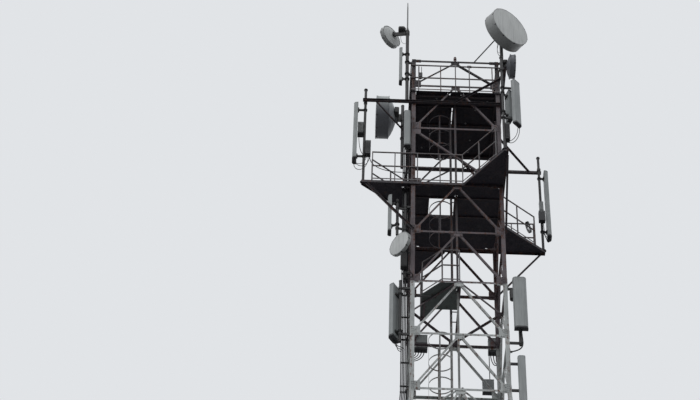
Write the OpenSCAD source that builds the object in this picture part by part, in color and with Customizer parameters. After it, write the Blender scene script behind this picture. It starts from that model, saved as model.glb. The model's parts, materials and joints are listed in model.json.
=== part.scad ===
// Cell tower: a square steel lattice with two decks, ladders, dishes and panel antennas.
// The origin is at the underside of the near left foot, +Z is up and the near side faces -Y.

/* [Tower] */
// Width of the straight upper part over its leg corners
top_w = 2580; // [2520:20:2680]
// Width at the base over the leg corners
base_w = 5400; // [4800:100:6200]
// Height of the knee, where the straight part starts
knee_z = 24100; // [22000:100:25000]
// Height of an ordinary bay in the straight part
bay_h = 1890; // [1750:10:2000]
// Height of the bay that stands on the main deck
deck_bay_h = 2370; // [2200:10:2500]
// Height of the bay under the top ring
ring_bay_h = 1140; // [1000:10:1300]
// Number of tall bays below the knee
low_bays = 6; // [5:1:7]
// How much taller each tall bay is than the one above it
low_step = 300; // [0:10:400]

/* [Angle sections] */
// Flange width of the legs
leg_w = 115; // [105:5:130]
// Thickness of the legs
leg_t = 12; // [10:1:14]
// Flange width of horizontals
bar_w = 65; // [60:5:75]
// Flange width of diagonals
diag_w = 55; // [45:5:65]
// Thickness of horizontals and diagonals
bar_t = 8; // [6:1:10]
// Thickness of gusset plates
gusset_t = 10; // [8:1:12]
// Flange width of plan braces and joists
plan_w = 55; // [45:5:60]
// Thickness of plan braces and joists
plan_t = 6; // [5:1:8]

/* [Feet] */
// Side of a base plate
foot_w = 520; // [480:10:600]
// Thickness of a base plate
foot_t = 30; // [20:1:40]
// Spacing of the anchor holes
anchor_pitch = 380; // [360:10:420]
// Radius of an anchor hole
anchor_r = 18; // [12:1:22]

/* [Decks] */
// How far a deck stands out beyond the legs
deck_over = 45; // [40:5:55]
// Thickness of the deck plates
deck_t = 8; // [5:1:10]
// Reach of a deck tip from the tower axis
tip_reach = 2690; // [2600:10:2780]
// Blunt end width of a deck tip
tip_end = 130; // [110:5:160]
// Length of the side of the hatch, along X
hatch_x = 700; // [620:10:760]
// Length of the side of the hatch, along Y
hatch_y = 680; // [620:10:720]
// Distance of the top deck below the level that carries the top ring's bay
top_deck_drop = 300; // [260:10:340]
// Height of the railings
rail_h = 1200; // [1000:50:1300]
// Side of railing posts and rails
rail_w = 30; // [25:1:34]

/* [Outrigger frame] */
// Distance of the outrigger frame below the top deck
outrigger_drop = 490; // [400:10:600]
// How far an outrigger bar reaches past the deck tip below it
outrigger_over = 30; // [10:5:80]

/* [Ladders] */
// Width of a ladder between its stile centres
ladder_w = 400; // [340:10:440]
// Spacing of the rungs
rung_step = 300; // [250:10:350]
// Inner radius of the cage hoops
cage_r = 330; // [300:10:345]
// Spacing of the cage hoops
hoop_step = 800; // [600:50:1000]

/* [Pipes and antennas] */
// Radius of a tip pipe
tip_pipe_r = 38; // [30:1:44]
// Radius of a pipe at the top of the legs
top_pipe_r = 50; // [40:1:54]
// Radius of a pipe lower down on the legs
side_pipe_r = 40; // [32:1:42]
// Width of a panel antenna
panel_w = 280; // [220:10:320]
// Depth of a panel antenna
panel_d = 120; // [90:5:140]
// Diameter of the large dish on the right
dish_d = 1360; // [1240:20:1400]
// Diameter of the deep dish on the left
deep_dish_d = 1320; // [1200:20:1340]
// Diameter of the small dishes
small_dish_d = 720; // [620:10:730]
// Radius of a feeder cable
cable_r = 14; // [10:1:16]
// Number of feeder cables
cables = 5; // [3:1:6]

/* [Hidden] */

half_top = top_w / 2;
half_base = base_w / 2;
slope = (half_base - half_top) / knee_z;
lean = atan(slope);
leg_stretch = sqrt(1 + 2 * slope * slope);
tilt = asin(slope / leg_stretch);

// levels of the straight part, counted from the knee up
level_0 = knee_z;
level_1 = level_0 + bay_h;
level_2 = level_1 + bay_h;
level_3 = level_2 + bay_h;
level_4 = level_3 + bay_h;
level_5 = level_4 + deck_bay_h;
level_6 = level_5 + bay_h;
level_7 = level_6 + ring_bay_h;
levels = [level_0, level_1, level_2, level_3, level_4, level_5, level_6, level_7];

// tall bays: bay 0 is the one under the knee
function tall_h(i) = knee_z / low_bays + (i - (low_bays - 1) / 2) * low_step;
function tall_z(i) = i == 0 ? knee_z : tall_z(i - 1) - tall_h(i - 1);
function half_at(z) = z >= knee_z ? half_top : half_top + (knee_z - z) * slope;

// layers of a face, measured inwards from the outer faces of the legs
gusset_in = leg_t;
bar_in = leg_t - bar_t;
diag_in = leg_t + gusset_t;
// gap between the leg's edge and the bars beside it
side_gap = 5;
// bars of one piece that meet without a weld keep this far apart
seam = 0.3;
// a gusset starts this far from the tower's corner, clear of the one on the next face
gusset_start = leg_t + gusset_t + 8;
gusset_w = 240;
gusset_up = 250;
gusset_down = 60;
mid_gusset_w = 250;
mid_gusset_h = 150;
diag_foot_in = leg_w + 5;
diag_foot_up = 100;
diag_top_in = 62;
diag_top_down = 92;

// decks
main_z = level_4 + bar_w / 2;
top_z = level_6 - top_deck_drop;
function joist_z(level) = level + bar_w / 2 + plan_t + plan_w + 2 * seam;
rest_z = joist_z(level_2) + plan_w;
outrigger_z = top_z - outrigger_drop;
outrigger_reach = tip_reach + outrigger_over;
deck_half = half_top + deck_over;
leg_notch = leg_w + 15;

// the ladder's plane and the places of its two flights
ladder_x = -120;
hatch_c = [-405, -410];
upper_y = hatch_c[1];
lower_y = 210;
stile_w = 40;
rung_r = 11;
column_w = 60;
column_y = -825;
joist_x = 30;

// the origin sits under the near left foot
foot_in = 60;
foot_c = half_base - foot_in;

module place() {
    translate([foot_c, foot_c, 0]) children();
}

// copies the child on each side of the tower, by quarter turns
module four_sides() {
    for (i = [0:3]) rotate([0, 0, 90 * i]) children();
}

module angle_profile(w, t) {
    polygon([[0, -w / 2], [t, -w / 2], [t, w / 2 - t], [w, w / 2 - t], [w, w / 2], [0, w / 2]]);
}

// angle bar in a face: from point a to point b, [along, up], with its flat flange at the given depth
module face_bar(a, b, w, t, depth) {
    run = b - a;
    translate([a[0], depth, a[1]])
        rotate([0, -atan2(run[1], run[0]), 0])
            rotate([90, 0, 90])
                linear_extrude(norm(run)) angle_profile(w, t);
}

module face_plate(x0, x1, z0, z1) {
    translate([x0, gusset_in, z0]) cube([x1 - x0, gusset_t, z1 - z0]);
}

// one level of a face: the horizontal, its gussets at the legs and the one under its middle
module face_level(half, z, feet, apex) {
    reach = half - leg_w - side_gap;
    face_bar([-reach, z], [reach, z], bar_w, bar_t, bar_in);
    for (s = [-1, 1]) {
        edge = half - gusset_start;
        up = feet ? gusset_up : bar_w;
        x0 = s > 0 ? edge - gusset_w : -edge;
        face_plate(x0, x0 + gusset_w, z - gusset_down, z + up);
    }
    if (apex)
        face_plate(-mid_gusset_w / 2, mid_gusset_w / 2, z - mid_gusset_h, z + bar_w / 2 - bar_t);
}

// two braces that rise from the legs to the middle of the next level
module chevron(half_low, z_low, z_high) {
    for (s = [-1, 1])
        face_bar([s * (half_low - diag_foot_in), z_low + diag_foot_up],
            [s * diag_top_in, z_high - diag_top_down], diag_w, bar_t, diag_in);
}

// one brace across the bay that stands on the main deck
module single_diagonal(z_low, z_high) {
    face_bar([half_top - diag_foot_in, z_low + diag_foot_up],
        [-half_top + diag_foot_in, z_high - diag_foot_up], diag_w, bar_t, diag_in);
    edge = half_top - gusset_start;
    face_plate(-edge, -edge + gusset_w, z_high - gusset_up, z_high - gusset_down + 1);
}

module upper_face() {
    color("#7a5e5e")
    translate([0, -half_top, 0]) union() {
        for (i = [0:7])
            face_level(half_top, levels[i], i < 7, i > 0 && i != 5);
        for (i = [0:6])
            if (i == 4) single_diagonal(levels[i], levels[i + 1]);
            else chevron(half_top, levels[i], levels[i + 1]);
    }
}

// the faces below the knee lean outwards, so they are drawn upright from the knee down and then tilted
lean_stretch = 1 / cos(lean);
function leaning_z(z) = (z - knee_z) * lean_stretch;
// the legs' flanges lean in two ways, so the leaning faces stay this far off them
lean_gap = 0.8;
// the braces of the lowest bay start this much higher, clear of the base plates
foot_rise = 260;
// play between the gussets above and below the knee
knee_gap = 30;

module tilted_face() {
    translate([0, -half_top, knee_z]) rotate([-lean, 0, 0]) translate([0, lean_gap, 0]) children();
}

module lower_face() {
    color("#a9aca8") tilted_face() union() {
        face_plate(-mid_gusset_w / 2, mid_gusset_w / 2, -mid_gusset_h, -bar_w / 2 - knee_gap);
        for (i = [0:low_bays - 2]) {
            z_low = leaning_z(tall_z(i + 1));
            z_high = leaning_z(tall_z(i));
            z_mid = (z_low + z_high) / 2;
            half_low = half_at(tall_z(i + 1));
            half_mid = half_at((tall_z(i) + tall_z(i + 1)) / 2);
            face_level(half_low, z_low, i < low_bays - 2, true);
            chevron(half_low, z_low, z_high);
            middle_tie(half_mid, z_mid);
            sub_braces(half_low, z_low, z_mid);
        }
    }
}

// a tall bay's braces are tied in mid height
module middle_tie(half, z) {
    reach = half - gusset_start - side_gap;
    face_bar([-reach, z], [reach, z], plan_w, plan_t, gusset_in);
}

// two short braces from the horizontal up to the middle of the long ones
sub_in = 170;
module sub_braces(half_low, z_low, z_mid) {
    x_mid = (half_low - diag_foot_in + diag_top_in) / 2;
    for (s = [-1, 1])
        face_bar([s * sub_in, z_low + bar_w / 4], [s * (x_mid - plan_w), z_mid - plan_w / 2],
            plan_w, plan_t, diag_in);
}

// the lowest bay of one face: two braces, their gussets at the feet and a flat tie
module base_face() {
    half_low = half_at(foot_rise);
    z_low = leaning_z(foot_rise);
    z_high = leaning_z(tall_z(low_bays - 1));
    z_mid = (z_low + z_high) / 2;
    reach = half_at((foot_rise + tall_z(low_bays - 1)) / 2) - gusset_start - side_gap;
    color("#a9aca8") tilted_face() {
        foot_gussets(half_low, z_low);
        translate([0, seam, 0]) chevron(half_low, z_low, z_high);
        face_plate(-reach, reach, z_mid - plan_w / 2, z_mid + plan_w / 2);
    }
}

module foot_gussets(half, z) {
    for (s = [-1, 1]) {
        edge = half - gusset_start;
        x0 = s > 0 ? edge - gusset_w : -edge;
        face_plate(x0, x0 + gusset_w, z - gusset_down, z + gusset_up);
    }
}

module base_bracing() { place() four_sides() base_face(); }

module leg_profile() {
    polygon([[0, 0], [leg_w, 0], [leg_w, leg_t], [leg_t, leg_t], [leg_t, leg_w], [0, leg_w]]);
}

// one leg, drawn at the near left corner: an upright angle above the knee and a leaning one below it
module leg() {
    run = knee_z * leg_stretch;
    color("#8a7371") {
        translate([-half_top, -half_top, knee_z + seam])
            linear_extrude(level_7 + bar_w - knee_z - seam) leg_profile();
        intersection() {
            translate([-half_base, -half_base, 0])
                rotate([-tilt, lean, 0])
                    translate([0, 0, -leg_w]) linear_extrude(run + 2 * leg_w) leg_profile();
            translate([-half_base - leg_w, -half_base - leg_w, foot_t])
                cube([half_base, half_base, knee_z - foot_t]);
        }
    }
}

module base_plates() {
    color("#8f9290") place() four_sides() translate([-foot_c, -foot_c, 0]) difference() {
        translate([-foot_w / 2, -foot_w / 2, 0]) cube([foot_w, foot_w, foot_t]);
        for (x = [-1, 1], y = [-1, 1])
            translate([x * anchor_pitch / 2, y * anchor_pitch / 2, -1])
                cylinder(r = anchor_r, h = foot_t + 2, $fn = 32);
    }
}

module leg_near_left() { place() leg(); }
module leg_near_right() { place() rotate([0, 0, 90]) leg(); }
module leg_far_right() { place() rotate([0, 0, 180]) leg(); }
module leg_far_left() { place() rotate([0, 0, 270]) leg(); }

module lower_bracing_near() { place() lower_face(); }
module lower_bracing_right() { place() rotate([0, 0, 90]) lower_face(); }
module lower_bracing_far() { place() rotate([0, 0, 180]) lower_face(); }
module lower_bracing_left() { place() rotate([0, 0, 270]) lower_face(); }

module upper_bracing_near() { place() upper_face(); }
module upper_bracing_right() { place() rotate([0, 0, 90]) upper_face(); }
module upper_bracing_far() { place() rotate([0, 0, 180]) upper_face(); }
module upper_bracing_left() { place() rotate([0, 0, 270]) upper_face(); }

// bars between two points of a level plan, [x, y], lying on the height z
module plan_bar(a, b, z, w, t) {
    run = b - a;
    translate([a[0], a[1], z + w / 2])
        rotate([0, 0, atan2(run[1], run[0])])
            rotate([90, 0, 90])
                linear_extrude(norm(run)) angle_profile(w, t);
}

// a diamond of four bars on plates, from side to side, and a joist that lies on it
plate_w = 260;
plate_d = 160;
joist_in = 60;
module plan_ring(level) {
    corner = half_at(level) - bar_in - bar_w / 2;
    seat = level + bar_w / 2;
    end = (plan_w + 2 * side_gap) / sqrt(2);
    four_sides() {
        translate([-plate_w / 2, side_gap - bar_w / 2 - corner, seat]) cube([plate_w, plate_d, plan_t]);
        plan_bar([end, end - corner], [corner - end, -end], seat + plan_t + seam, plan_w, plan_t);
    }
    plan_bar([joist_x, corner - joist_in], [joist_x, joist_in - corner], joist_z(level), plan_w, plan_t);
}

// a second, shorter joist carries the left part of the rest deck
side_joist_x = -900;
side_joist_reach = 330;
module plan_bracing() {
    color("#9a9c98") place() {
        plan_ring(level_2);
        plan_ring(level_0);
        for (i = [1:low_bays - 1]) plan_ring(tall_z(i));
        plan_bar([side_joist_x, side_joist_reach], [side_joist_x, -side_joist_reach], joist_z(level_2),
            plan_w, plan_t);
    }
}

// decks: a square that reaches over the bracing, and four tips set like a pinwheel
tip_root = 170;
notch_long = 340;
notch_deep = 92;

module tip_outline() {
    root_x = -deck_half - seam;
    polygon([[root_x, -deck_half], [-tip_reach, -deck_half], [-tip_reach, -deck_half + tip_end],
        [root_x, -tip_root]]);
}

module leg_notches(with_gussets) {
    for (i = [0:3]) rotate(90 * i) translate([-deck_half, -deck_half]) {
        translate([deck_over - side_gap, deck_over - side_gap]) square(leg_notch);
        if (with_gussets) {
            translate([deck_over - side_gap, deck_over - side_gap]) square([notch_long, notch_deep]);
            translate([deck_over - side_gap, deck_over - side_gap]) square([notch_deep, notch_long]);
        }
    }
}

module hatch_outline() {
    translate([hatch_c[0] - hatch_x / 2, hatch_c[1] - hatch_y / 2]) square([hatch_x, hatch_y]);
}

module column_notch() {
    translate([-column_w / 2 - side_gap, column_y - column_w / 2 - side_gap])
        square(column_w + 2 * side_gap);
}

// the slot through which the cables pass the near left tip
module cable_slot() {
    x0 = cable_x(cables - 1) - cable_r - 2 * side_gap;
    translate([x0, cable_y - cable_r - 2 * side_gap]) square([-deck_half - x0, 2 * cable_r + 4 * side_gap]);
}

// the main deck's square is laid with four plates around the hatch
module deck_plate(x0, x1, y0, y1) {
    linear_extrude(deck_t) difference() {
        translate([x0, y0]) square([x1 - x0, y1 - y0]);
        leg_notches(true);
        column_notch();
    }
}

module main_deck() {
    x0 = hatch_c[0] - hatch_x / 2;
    x1 = hatch_c[0] + hatch_x / 2;
    color("#3b3238") place() translate([0, 0, main_z]) {
        deck_plate(-deck_half, x0, -deck_half, deck_half);
        deck_plate(x0 + seam, x1 - seam, -deck_half, hatch_c[1] - hatch_y / 2);
        deck_plate(x0 + seam, x1 - seam, hatch_c[1] + hatch_y / 2, deck_half);
        deck_plate(x1, deck_half, -deck_half, deck_half);
        linear_extrude(deck_t) difference() {
            four_sides() tip_outline();
            cable_slot();
        }
    }
}

// an edge bar outside the legs and a slanting one to the root of the tip, on every side
edge_h = 80;
edge_t = 8;
module edge_profile(w) {
    polygon([[0, 0], [w, 0], [w, -edge_t], [edge_t, -edge_t], [edge_t, -edge_h], [0, -edge_h]]);
}

module edge_bar(a, b, z, w) {
    run = b - a;
    translate([a[0], a[1], z]) rotate([0, 0, atan2(run[1], run[0])]) rotate([90, 0, 90])
        linear_extrude(norm(run)) edge_profile(w);
}

module main_deck_beams() {
    tip = [-tip_reach + edge_t + 2 * seam, -deck_half + tip_end];
    root = [-deck_half, -tip_root];
    start = root + (tip - root) * deck_over / norm(tip - root);
    color("#5a4747") place() {
        four_sides() {
            edge_bar([-tip_reach, -deck_half], [half_top - seam, -deck_half], main_z, deck_over);
            edge_bar(start, tip, main_z, deck_over);
            translate([-tip_reach, -deck_half + deck_over + seam, main_z - edge_h])
                cube([edge_t, tip_end - deck_over - seam, edge_h]);
        }
        hatch_trim(main_z, half_top - bar_in - bar_w);
    }
}

// four bars around the hatch: two reach from side to side, two run between them
module hatch_trim(z, reach) {
    x0 = hatch_c[0] - hatch_x / 2;
    x1 = hatch_c[0] + hatch_x / 2;
    for (s = [-1, 1]) {
        y = hatch_c[1] + s * (hatch_y / 2 + trim_w / 2);
        translate([-reach, y - trim_w / 2, z - trim_h]) cube([2 * reach, trim_w, trim_h]);
    }
    for (x = [x0 - trim_w, x1])
        translate([x, hatch_c[1] - hatch_y / 2 + seam, z - trim_h])
            cube([trim_w, hatch_y - 2 * seam, trim_h]);
}
trim_w = 40;
trim_h = 50;

// a strut from under each tip down to the leg, one level lower
strut_w = 60;
strut_in = 130;
module main_deck_struts() {
    color("#5a4747") place() four_sides()
        translate([0, -half_top, 0]) mirror([0, 1, 0]) intersection() {
            face_bar([-tip_reach + strut_in, main_z - edge_h], [-half_top + leg_w / 2, level_3 + strut_w],
                strut_w, plan_t, 0);
            translate([-tip_reach, 0, level_3 - leg_w])
                cube([tip_reach, leg_w, main_z - edge_h - level_3 + leg_w]);
        }
}

// a straight fence with posts, a top rail, a middle rail and a kick strip a little above the deck;
// a fence that starts at another one's post begins a little beside it
kick_z = 60;
kick_h = 40;
kick_t = 6;
module fence(a, b, spans, own_post) {
    run = norm(b - a);
    x0 = own_post ? 0 : rail_w * 0.8;
    translate([a[0], a[1], 0]) rotate([0, 0, atan2(b[1] - a[1], b[0] - a[0])]) union() {
        for (k = [own_post ? 0 : 1:spans])
            translate([run * k / spans - rail_w / 2, -rail_w / 2, 0]) cube([rail_w, rail_w, rail_h]);
        translate([x0, -rail_w / 2, rail_h - rail_w]) cube([run - x0, rail_w, rail_w]);
        translate([x0, -rail_w / 2, rail_h / 2]) cube([run - x0, rail_w, rail_w]);
        translate([x0, -rail_w / 2, kick_z]) cube([run - x0, kick_t, kick_h]);
    }
}

rail_line = deck_half - rail_w / 2 - side_gap;
tip_rail_gap = 300;
rail_in = 35;
module main_deck_railing() {
    // the slanting rail keeps rail_in off the deck's slanting edge
    slant = [deck_half - tip_end - tip_root, -tip_reach + deck_half];
    along = (tip_reach - tip_rail_gap - deck_half) / (tip_reach - deck_half);
    off = rail_in * norm(slant) / -slant[1];
    root = [tip_root - deck_over / 4, -rail_line];
    tip = [tip_root + along * slant[0] + off, -tip_reach + tip_rail_gap];
    straight = -tip_reach + tip_rail_gap;
    color("#8c8683") place() translate([0, 0, main_z + deck_t]) four_sides() {
        fence([straight, root[1]], root, 4, true);
        fence(root, tip, 2, false);
    }
}

module top_deck() {
    color("#3b3238") place() translate([0, 0, top_z]) linear_extrude(deck_t) difference() {
        square(2 * deck_half, center = true);
        leg_notches(false);
        hatch_outline();
        for (i = [0:3]) rotate(90 * i) brace_slots();
    }
}

// the two braces of a face pass the top deck through slots of their own
module brace_slots() {
    fall = (top_deck_drop - diag_top_down) / (bay_h - diag_top_down - diag_foot_up);
    x = diag_top_in + fall * (half_top - diag_foot_in - diag_top_in);
    w = 1.5 * diag_w + 2 * side_gap;
    for (s = [-1, 1])
        translate([s * x - w / 2, -half_top + diag_in - side_gap]) square([w, diag_w + 3 * side_gap]);
}

// channels just inside the bracing: each runs from a leg to the next channel
channel_w = 38;
channel_in = 104;
module top_deck_beams() {
    reach = half_top - leg_t;
    stop = half_top - channel_in - channel_w - seam;
    color("#5a4747") place() {
        four_sides() translate([-reach, -half_top + channel_in, top_z]) rotate([90, 0, 90])
            linear_extrude(reach + stop) channel_profile();
        hatch_trim(top_z, stop);
    }
}

module channel_profile() {
    polygon([[0, 0], [channel_w, 0], [channel_w, -plan_t], [plan_t, -plan_t], [plan_t, plan_t - edge_h],
        [channel_w, plan_t - edge_h], [channel_w, -edge_h], [0, -edge_h]]);
}

// the closed cover of the top hatch leaves a slit on its right
slit = 25;
lap = 20;
module trapdoor() {
    color("#453a3f") place()
        translate([hatch_c[0] - hatch_x / 2 - lap, hatch_c[1] - hatch_y / 2 - lap, top_z + deck_t])
            cube([hatch_x + lap - slit, hatch_y + 2 * lap, deck_t]);
}

// places of the posts along one side of the top railing
rail_posts = [-1090, -440, 0, 410, 1090];
module top_deck_railing() {
    side = -rail_line - rail_w / 2;
    run = -2 * side - rail_w - seam;
    color("#8c8683") place() translate([0, 0, top_z + deck_t]) four_sides() union() {
        for (x = rail_posts) translate([x - rail_w / 2, side, 0]) cube([rail_w, rail_w, rail_h]);
        translate([side, side, rail_h - rail_w]) cube([run, rail_w, rail_w]);
        translate([side, side, rail_h / 2]) cube([run, rail_w, rail_w]);
        translate([side, side, kick_z]) cube([run, kick_t, kick_h]);
    }
}

// outrigger frame: each bar lies outside the legs, overruns one corner and ends at the next bar
out_w = 80;
out_brace = 380;
module outrigger_frame() {
    color("#6b5757") place() translate([0, 0, outrigger_z]) four_sides() {
        translate([-outrigger_reach, -half_top, 0]) mirror([0, 1, 0]) rotate([90, 0, 90])
            linear_extrude(outrigger_reach + half_top - seam) out_profile();
        intersection() {
            plan_bar([-outrigger_reach + out_brace, -half_top - out_w / 2], [-half_top - out_w / 2, 0],
                out_w / 2 - bar_t - plan_w - seam, plan_w, plan_t);
            translate([-outrigger_reach, -half_top + seam, -out_w])
                cube([outrigger_reach - half_top - bar_t - seam, half_top, 2 * out_w]);
        }
    }
}

module out_profile() {
    polygon([[0, -out_w / 2], [out_w, -out_w / 2], [out_w, bar_t - out_w / 2], [bar_t, bar_t - out_w / 2],
        [bar_t, out_w / 2 - bar_t], [out_w, out_w / 2 - bar_t], [out_w, out_w / 2], [0, out_w / 2]]);
}

// rest deck beside the ladders, with one corner cut at 45 degrees and a slanting back
rest_left = -960;
rest_near = -1150;
rest_right = joist_x + plan_w / 2;
rest_back = -40;
rest_cut = 530;
rest_tail = 500;
rest_heel = -600;
module rest_deck() {
    color("#565f5c") place() translate([0, 0, rest_z]) {
        linear_extrude(deck_t) difference() {
            polygon([[rest_left, rest_near + rest_cut], [rest_left + rest_cut, rest_near],
                [rest_right, rest_near], [rest_right, rest_back], [rest_left, rest_back]]);
            column_notch();
        }
        linear_extrude(deck_t) polygon([[rest_left, rest_back + seam], [rest_heel, rest_back + seam],
            [rest_left, rest_tail]]);
    }
}

module rest_deck_railing() {
    inset = rail_w / 2 + side_gap;
    a = [rest_left + inset, rest_tail - 4 * inset];
    b = [rest_left + inset, rest_near + rest_cut];
    c = [rest_left + rest_cut, rest_near + inset];
    d = [rest_right - inset, rest_near + inset];
    color("#b5b8b4") place() translate([0, 0, rest_z + deck_t]) {
        fence(a, b, 2, true);
        fence(b, c, 1, false);
        fence(c, d, 1, false);
    }
}

// a ladder in the plane of ladder_x, with its stiles on either side of y
stile_t = 12;
module ladder(z0, z1, y) {
    union() {
        for (s = [-1, 1])
            translate([ladder_x - stile_w / 2, y + s * ladder_w / 2 - stile_t / 2, z0])
                cube([stile_w, stile_t, z1 - z0]);
        for (z = [z0 + rung_step / 2:rung_step:z1 - rung_r])
            translate([ladder_x, y - ladder_w / 2, z]) rotate([-90, 0, 0])
                cylinder(r = rung_r, h = ladder_w, $fn = 8);
    }
}

// bracket from a stile to whatever stands at x
module stand_off(y, z, x) {
    translate([ladder_x + stile_w / 2, y - stile_t / 2, z]) cube([x - ladder_x - stile_w / 2, stile_t, 30]);
}

ladder_foot = 300;
ladder_over = 1100;
module lower_ladder() {
    color("#b0b3af") place() union() {
        ladder(ladder_foot, rest_z + ladder_over, lower_y);
        for (s = [-1, 1], z = concat([level_2, level_0], [for (i = [1:low_bays - 1]) tall_z(i)]))
            stand_off(lower_y + s * ladder_w / 2, joist_z(z) + 10, joist_x);
    }
}

module upper_ladder() {
    color("#9b9693") place() union() {
        ladder(rest_z + deck_t, top_z - 2 * side_gap, upper_y);
        for (s = [-1, 1], z = [main_z, top_z])
            stand_off(upper_y + s * ladder_w / 2, z - trim_h, hatch_c[0] + hatch_x / 2);
    }
}

// hoops run round from stile to stile; they meet in three parts, each with a strap that ties its arcs
hoop_t = 6;
hoop_h = 40;
strap_angle = 7;
// first and last bearing of a part, and the bearing of its strap
cage_parts = [[20, 140, 98], [140, 220, 180], [220, 340, 262]];
function hoop_reach() = sqrt(cage_r * cage_r - ladder_w * ladder_w / 4);
module cage(stops, y) {
    cx = ladder_x - stile_w / 2 - hoop_reach();
    split = asin(seam / cage_r);
    for (part = cage_parts) translate([cx, y, 0]) union() {
        for (z = stops) translate([0, 0, z]) difference() {
            rotate([0, 0, part[0]]) rotate_extrude(angle = part[1] - part[0] - split, $fn = 48)
                translate([cage_r, 0]) square([hoop_t, hoop_h]);
            translate([hoop_reach(), -cage_r - hoop_t, -1])
                cube([2 * cage_r, 2 * (cage_r + hoop_t), hoop_h + 2]);
        }
        translate([0, 0, stops[0]]) rotate([0, 0, part[2] - strap_angle / 2])
            rotate_extrude(angle = strap_angle, $fn = 48)
                translate([cage_r - hoop_t + 1, 0]) square([hoop_t, stops[len(stops) - 1] - stops[0] + hoop_h]);
    }
}

// a cage starts this high above the ground or a deck and ends a little below the next one
cage_start = 2300;
cage_stop = 150;
module lower_cage() {
    color("#c2c5c1") place() cage([for (z = [cage_start:hoop_step:rest_z - cage_stop]) z], lower_y);
}

module upper_cage() {
    step = hoop_step * 3 / 4;
    color("#a8a5a2") place() {
        cage([for (z = [rest_z + cage_start:step:main_z - cage_stop]) z], upper_y);
        cage([for (z = [main_z + cage_start:step:top_z - cage_stop]) z], upper_y);
    }
}

module ladder_column() {
    z0 = tall_z(low_bays - 1) - 100;
    color("#8b8280") place() translate([column_w / 2, column_y - column_w / 2, z0]) mirror([1, 0, 0])
        linear_extrude(top_z - z0) polygon([[0, 0], [column_w, 0], [column_w, plan_t],
            [plan_t, plan_t], [plan_t, column_w], [0, column_w]]);
}

// pipes: each row holds the place [x, y], the lower and upper end, the radius and the heights of its arms
arm_low = level_6 + 470;
arm_high = level_6 + 1010;
leg_pipe_rows = [
    [[-1435, -half_top], outrigger_z + out_w, level_6 + 2560, top_pipe_r, [arm_low, arm_high]],
    [[1400, -half_top], level_6 - 40, level_6 + 2600, top_pipe_r, [arm_low, arm_high + 110]],
    [[-1475, half_top], level_6 - 820, level_6 + 2030, top_pipe_r, [arm_low, arm_high]],
    [[-1440, -1190], level_2 + 140, level_4 - 360, side_pipe_r, [level_2 + 320, level_4 - 900]],
    [[-1415, -1240], main_z + 1300, top_z - 870, side_pipe_r, [main_z + 1450, top_z - 1070]],
    [[-1550, -1220], level_1 - 290, level_2 + 20, side_pipe_r, [level_1 - 40, level_2 - 280]],
    [[1580, -1230], level_1 - 270, level_2 + 120, side_pipe_r, [level_1 - 230, level_2 - 180]],
    [[1570, -1215], level_0 - 800, level_1 - 690, side_pipe_r, [level_0 + 50, level_0 + 950]],
    [[-1660, -1240], level_3 - 140, level_4 - 640, side_pipe_r, []]
];
// rows of links between two pipes: the first and the second pipe, and the heights
pipe_links = [[3, 8, [level_3 + 90, level_4 - 1000]]];
pipe_fn = 32;
collar_t = 14;
play = 0.3;
arm_w = 40;
arm_h = 70;

module leg_pipes() {
    color("#6e6a68") place() for (p = leg_pipe_rows)
        translate([p[0][0], p[0][1], p[1]]) cylinder(r = p[3], h = p[2] - p[1], $fn = pipe_fn);
}

// collar on a pipe with an arm to the outer side face of the leg beside it
module leg_arm(at, r, z) {
    y = sign(at[1]) * min(abs(at[1]), half_top - arm_w / 2 - side_gap);
    difference() {
        union() {
            translate([at[0], at[1], z]) cylinder(r = r + collar_t, h = arm_h, $fn = pipe_fn);
            translate([at[0] > 0 ? half_top : at[0], y - arm_w / 2, z])
                cube([abs(at[0]) - half_top, arm_w, arm_h]);
        }
        translate([at[0], at[1], z - 1]) cylinder(r = r + play, h = arm_h + 2, $fn = pipe_fn);
    }
}

// collar on a pipe with an arm to the plate on the back of an antenna, which looks in the bearing's direction
plate_t = 30;
module bracket(at, r, back, bearing, z, h, w) {
    run = back - at;
    start = r + collar_t / 2;
    union() {
        collar(at, r, z, h);
        translate([at[0], at[1], z + side_gap]) rotate([0, 0, atan2(run[1], run[0])])
            translate([start, -arm_w / 2, 0])
                cube([norm(run) - plate_t * 4 / 5 - start, arm_w, h - 2 * side_gap]);
        translate([back[0], back[1], z]) rotate([0, 0, bearing]) translate([-plate_t, -w / 2, 0])
            cube([plate_t, w, h]);
    }
}

module collar(at, r, z, h) {
    translate([at[0], at[1], z]) difference() {
        cylinder(r = r + collar_t, h = h, $fn = pipe_fn);
        translate([0, 0, -1]) cylinder(r = r + play, h = h + 2, $fn = pipe_fn);
    }
}

// panel antenna: a flat back and a front with blunted edges
module panel(back, bearing, z, h, w, d) {
    translate([back[0], back[1], z]) rotate([0, 0, bearing]) linear_extrude(h)
        polygon([[0, -w / 2], [d / 2, -w / 2], [d * 0.85, -w * 0.43], [d, -w * 0.3],
            [d, w * 0.3], [d * 0.85, w * 0.43], [d / 2, w / 2], [0, w / 2]]);
}

// rows of panels: pipe, place of the back from the pipe, bearing, foot, length, width, depth, bracket heights
leg_panel_rows = [
    [0, [-150, 0], 180, level_6 + 80, 1540, 200, 90, [150, 1300]],
    [4, [0, -100], 270, main_z + 1410, 1490, 190, 110, [190, 1240]],
    [8, [-160, 75], 180, level_3 + 10, 1400, 240, 100, [230, 1100]],
    [5, [-92, 60], 147, level_1 - 110, 1870, 360, 160, [170, 1500]],
    [6, [20, -100], 270, level_1 + 160, 1810, 360, 150, [200, 1230]],
    [7, [0, -90], 270, level_0 - 720, 1820, 200, 120, [220, 1400]]
];

module leg_panels() {
    color("#a7adae") place() for (q = leg_panel_rows)
        panel(leg_pipe_rows[q[0]][0] + q[1], q[2], q[3], q[4], q[5], q[6]);
}

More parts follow.
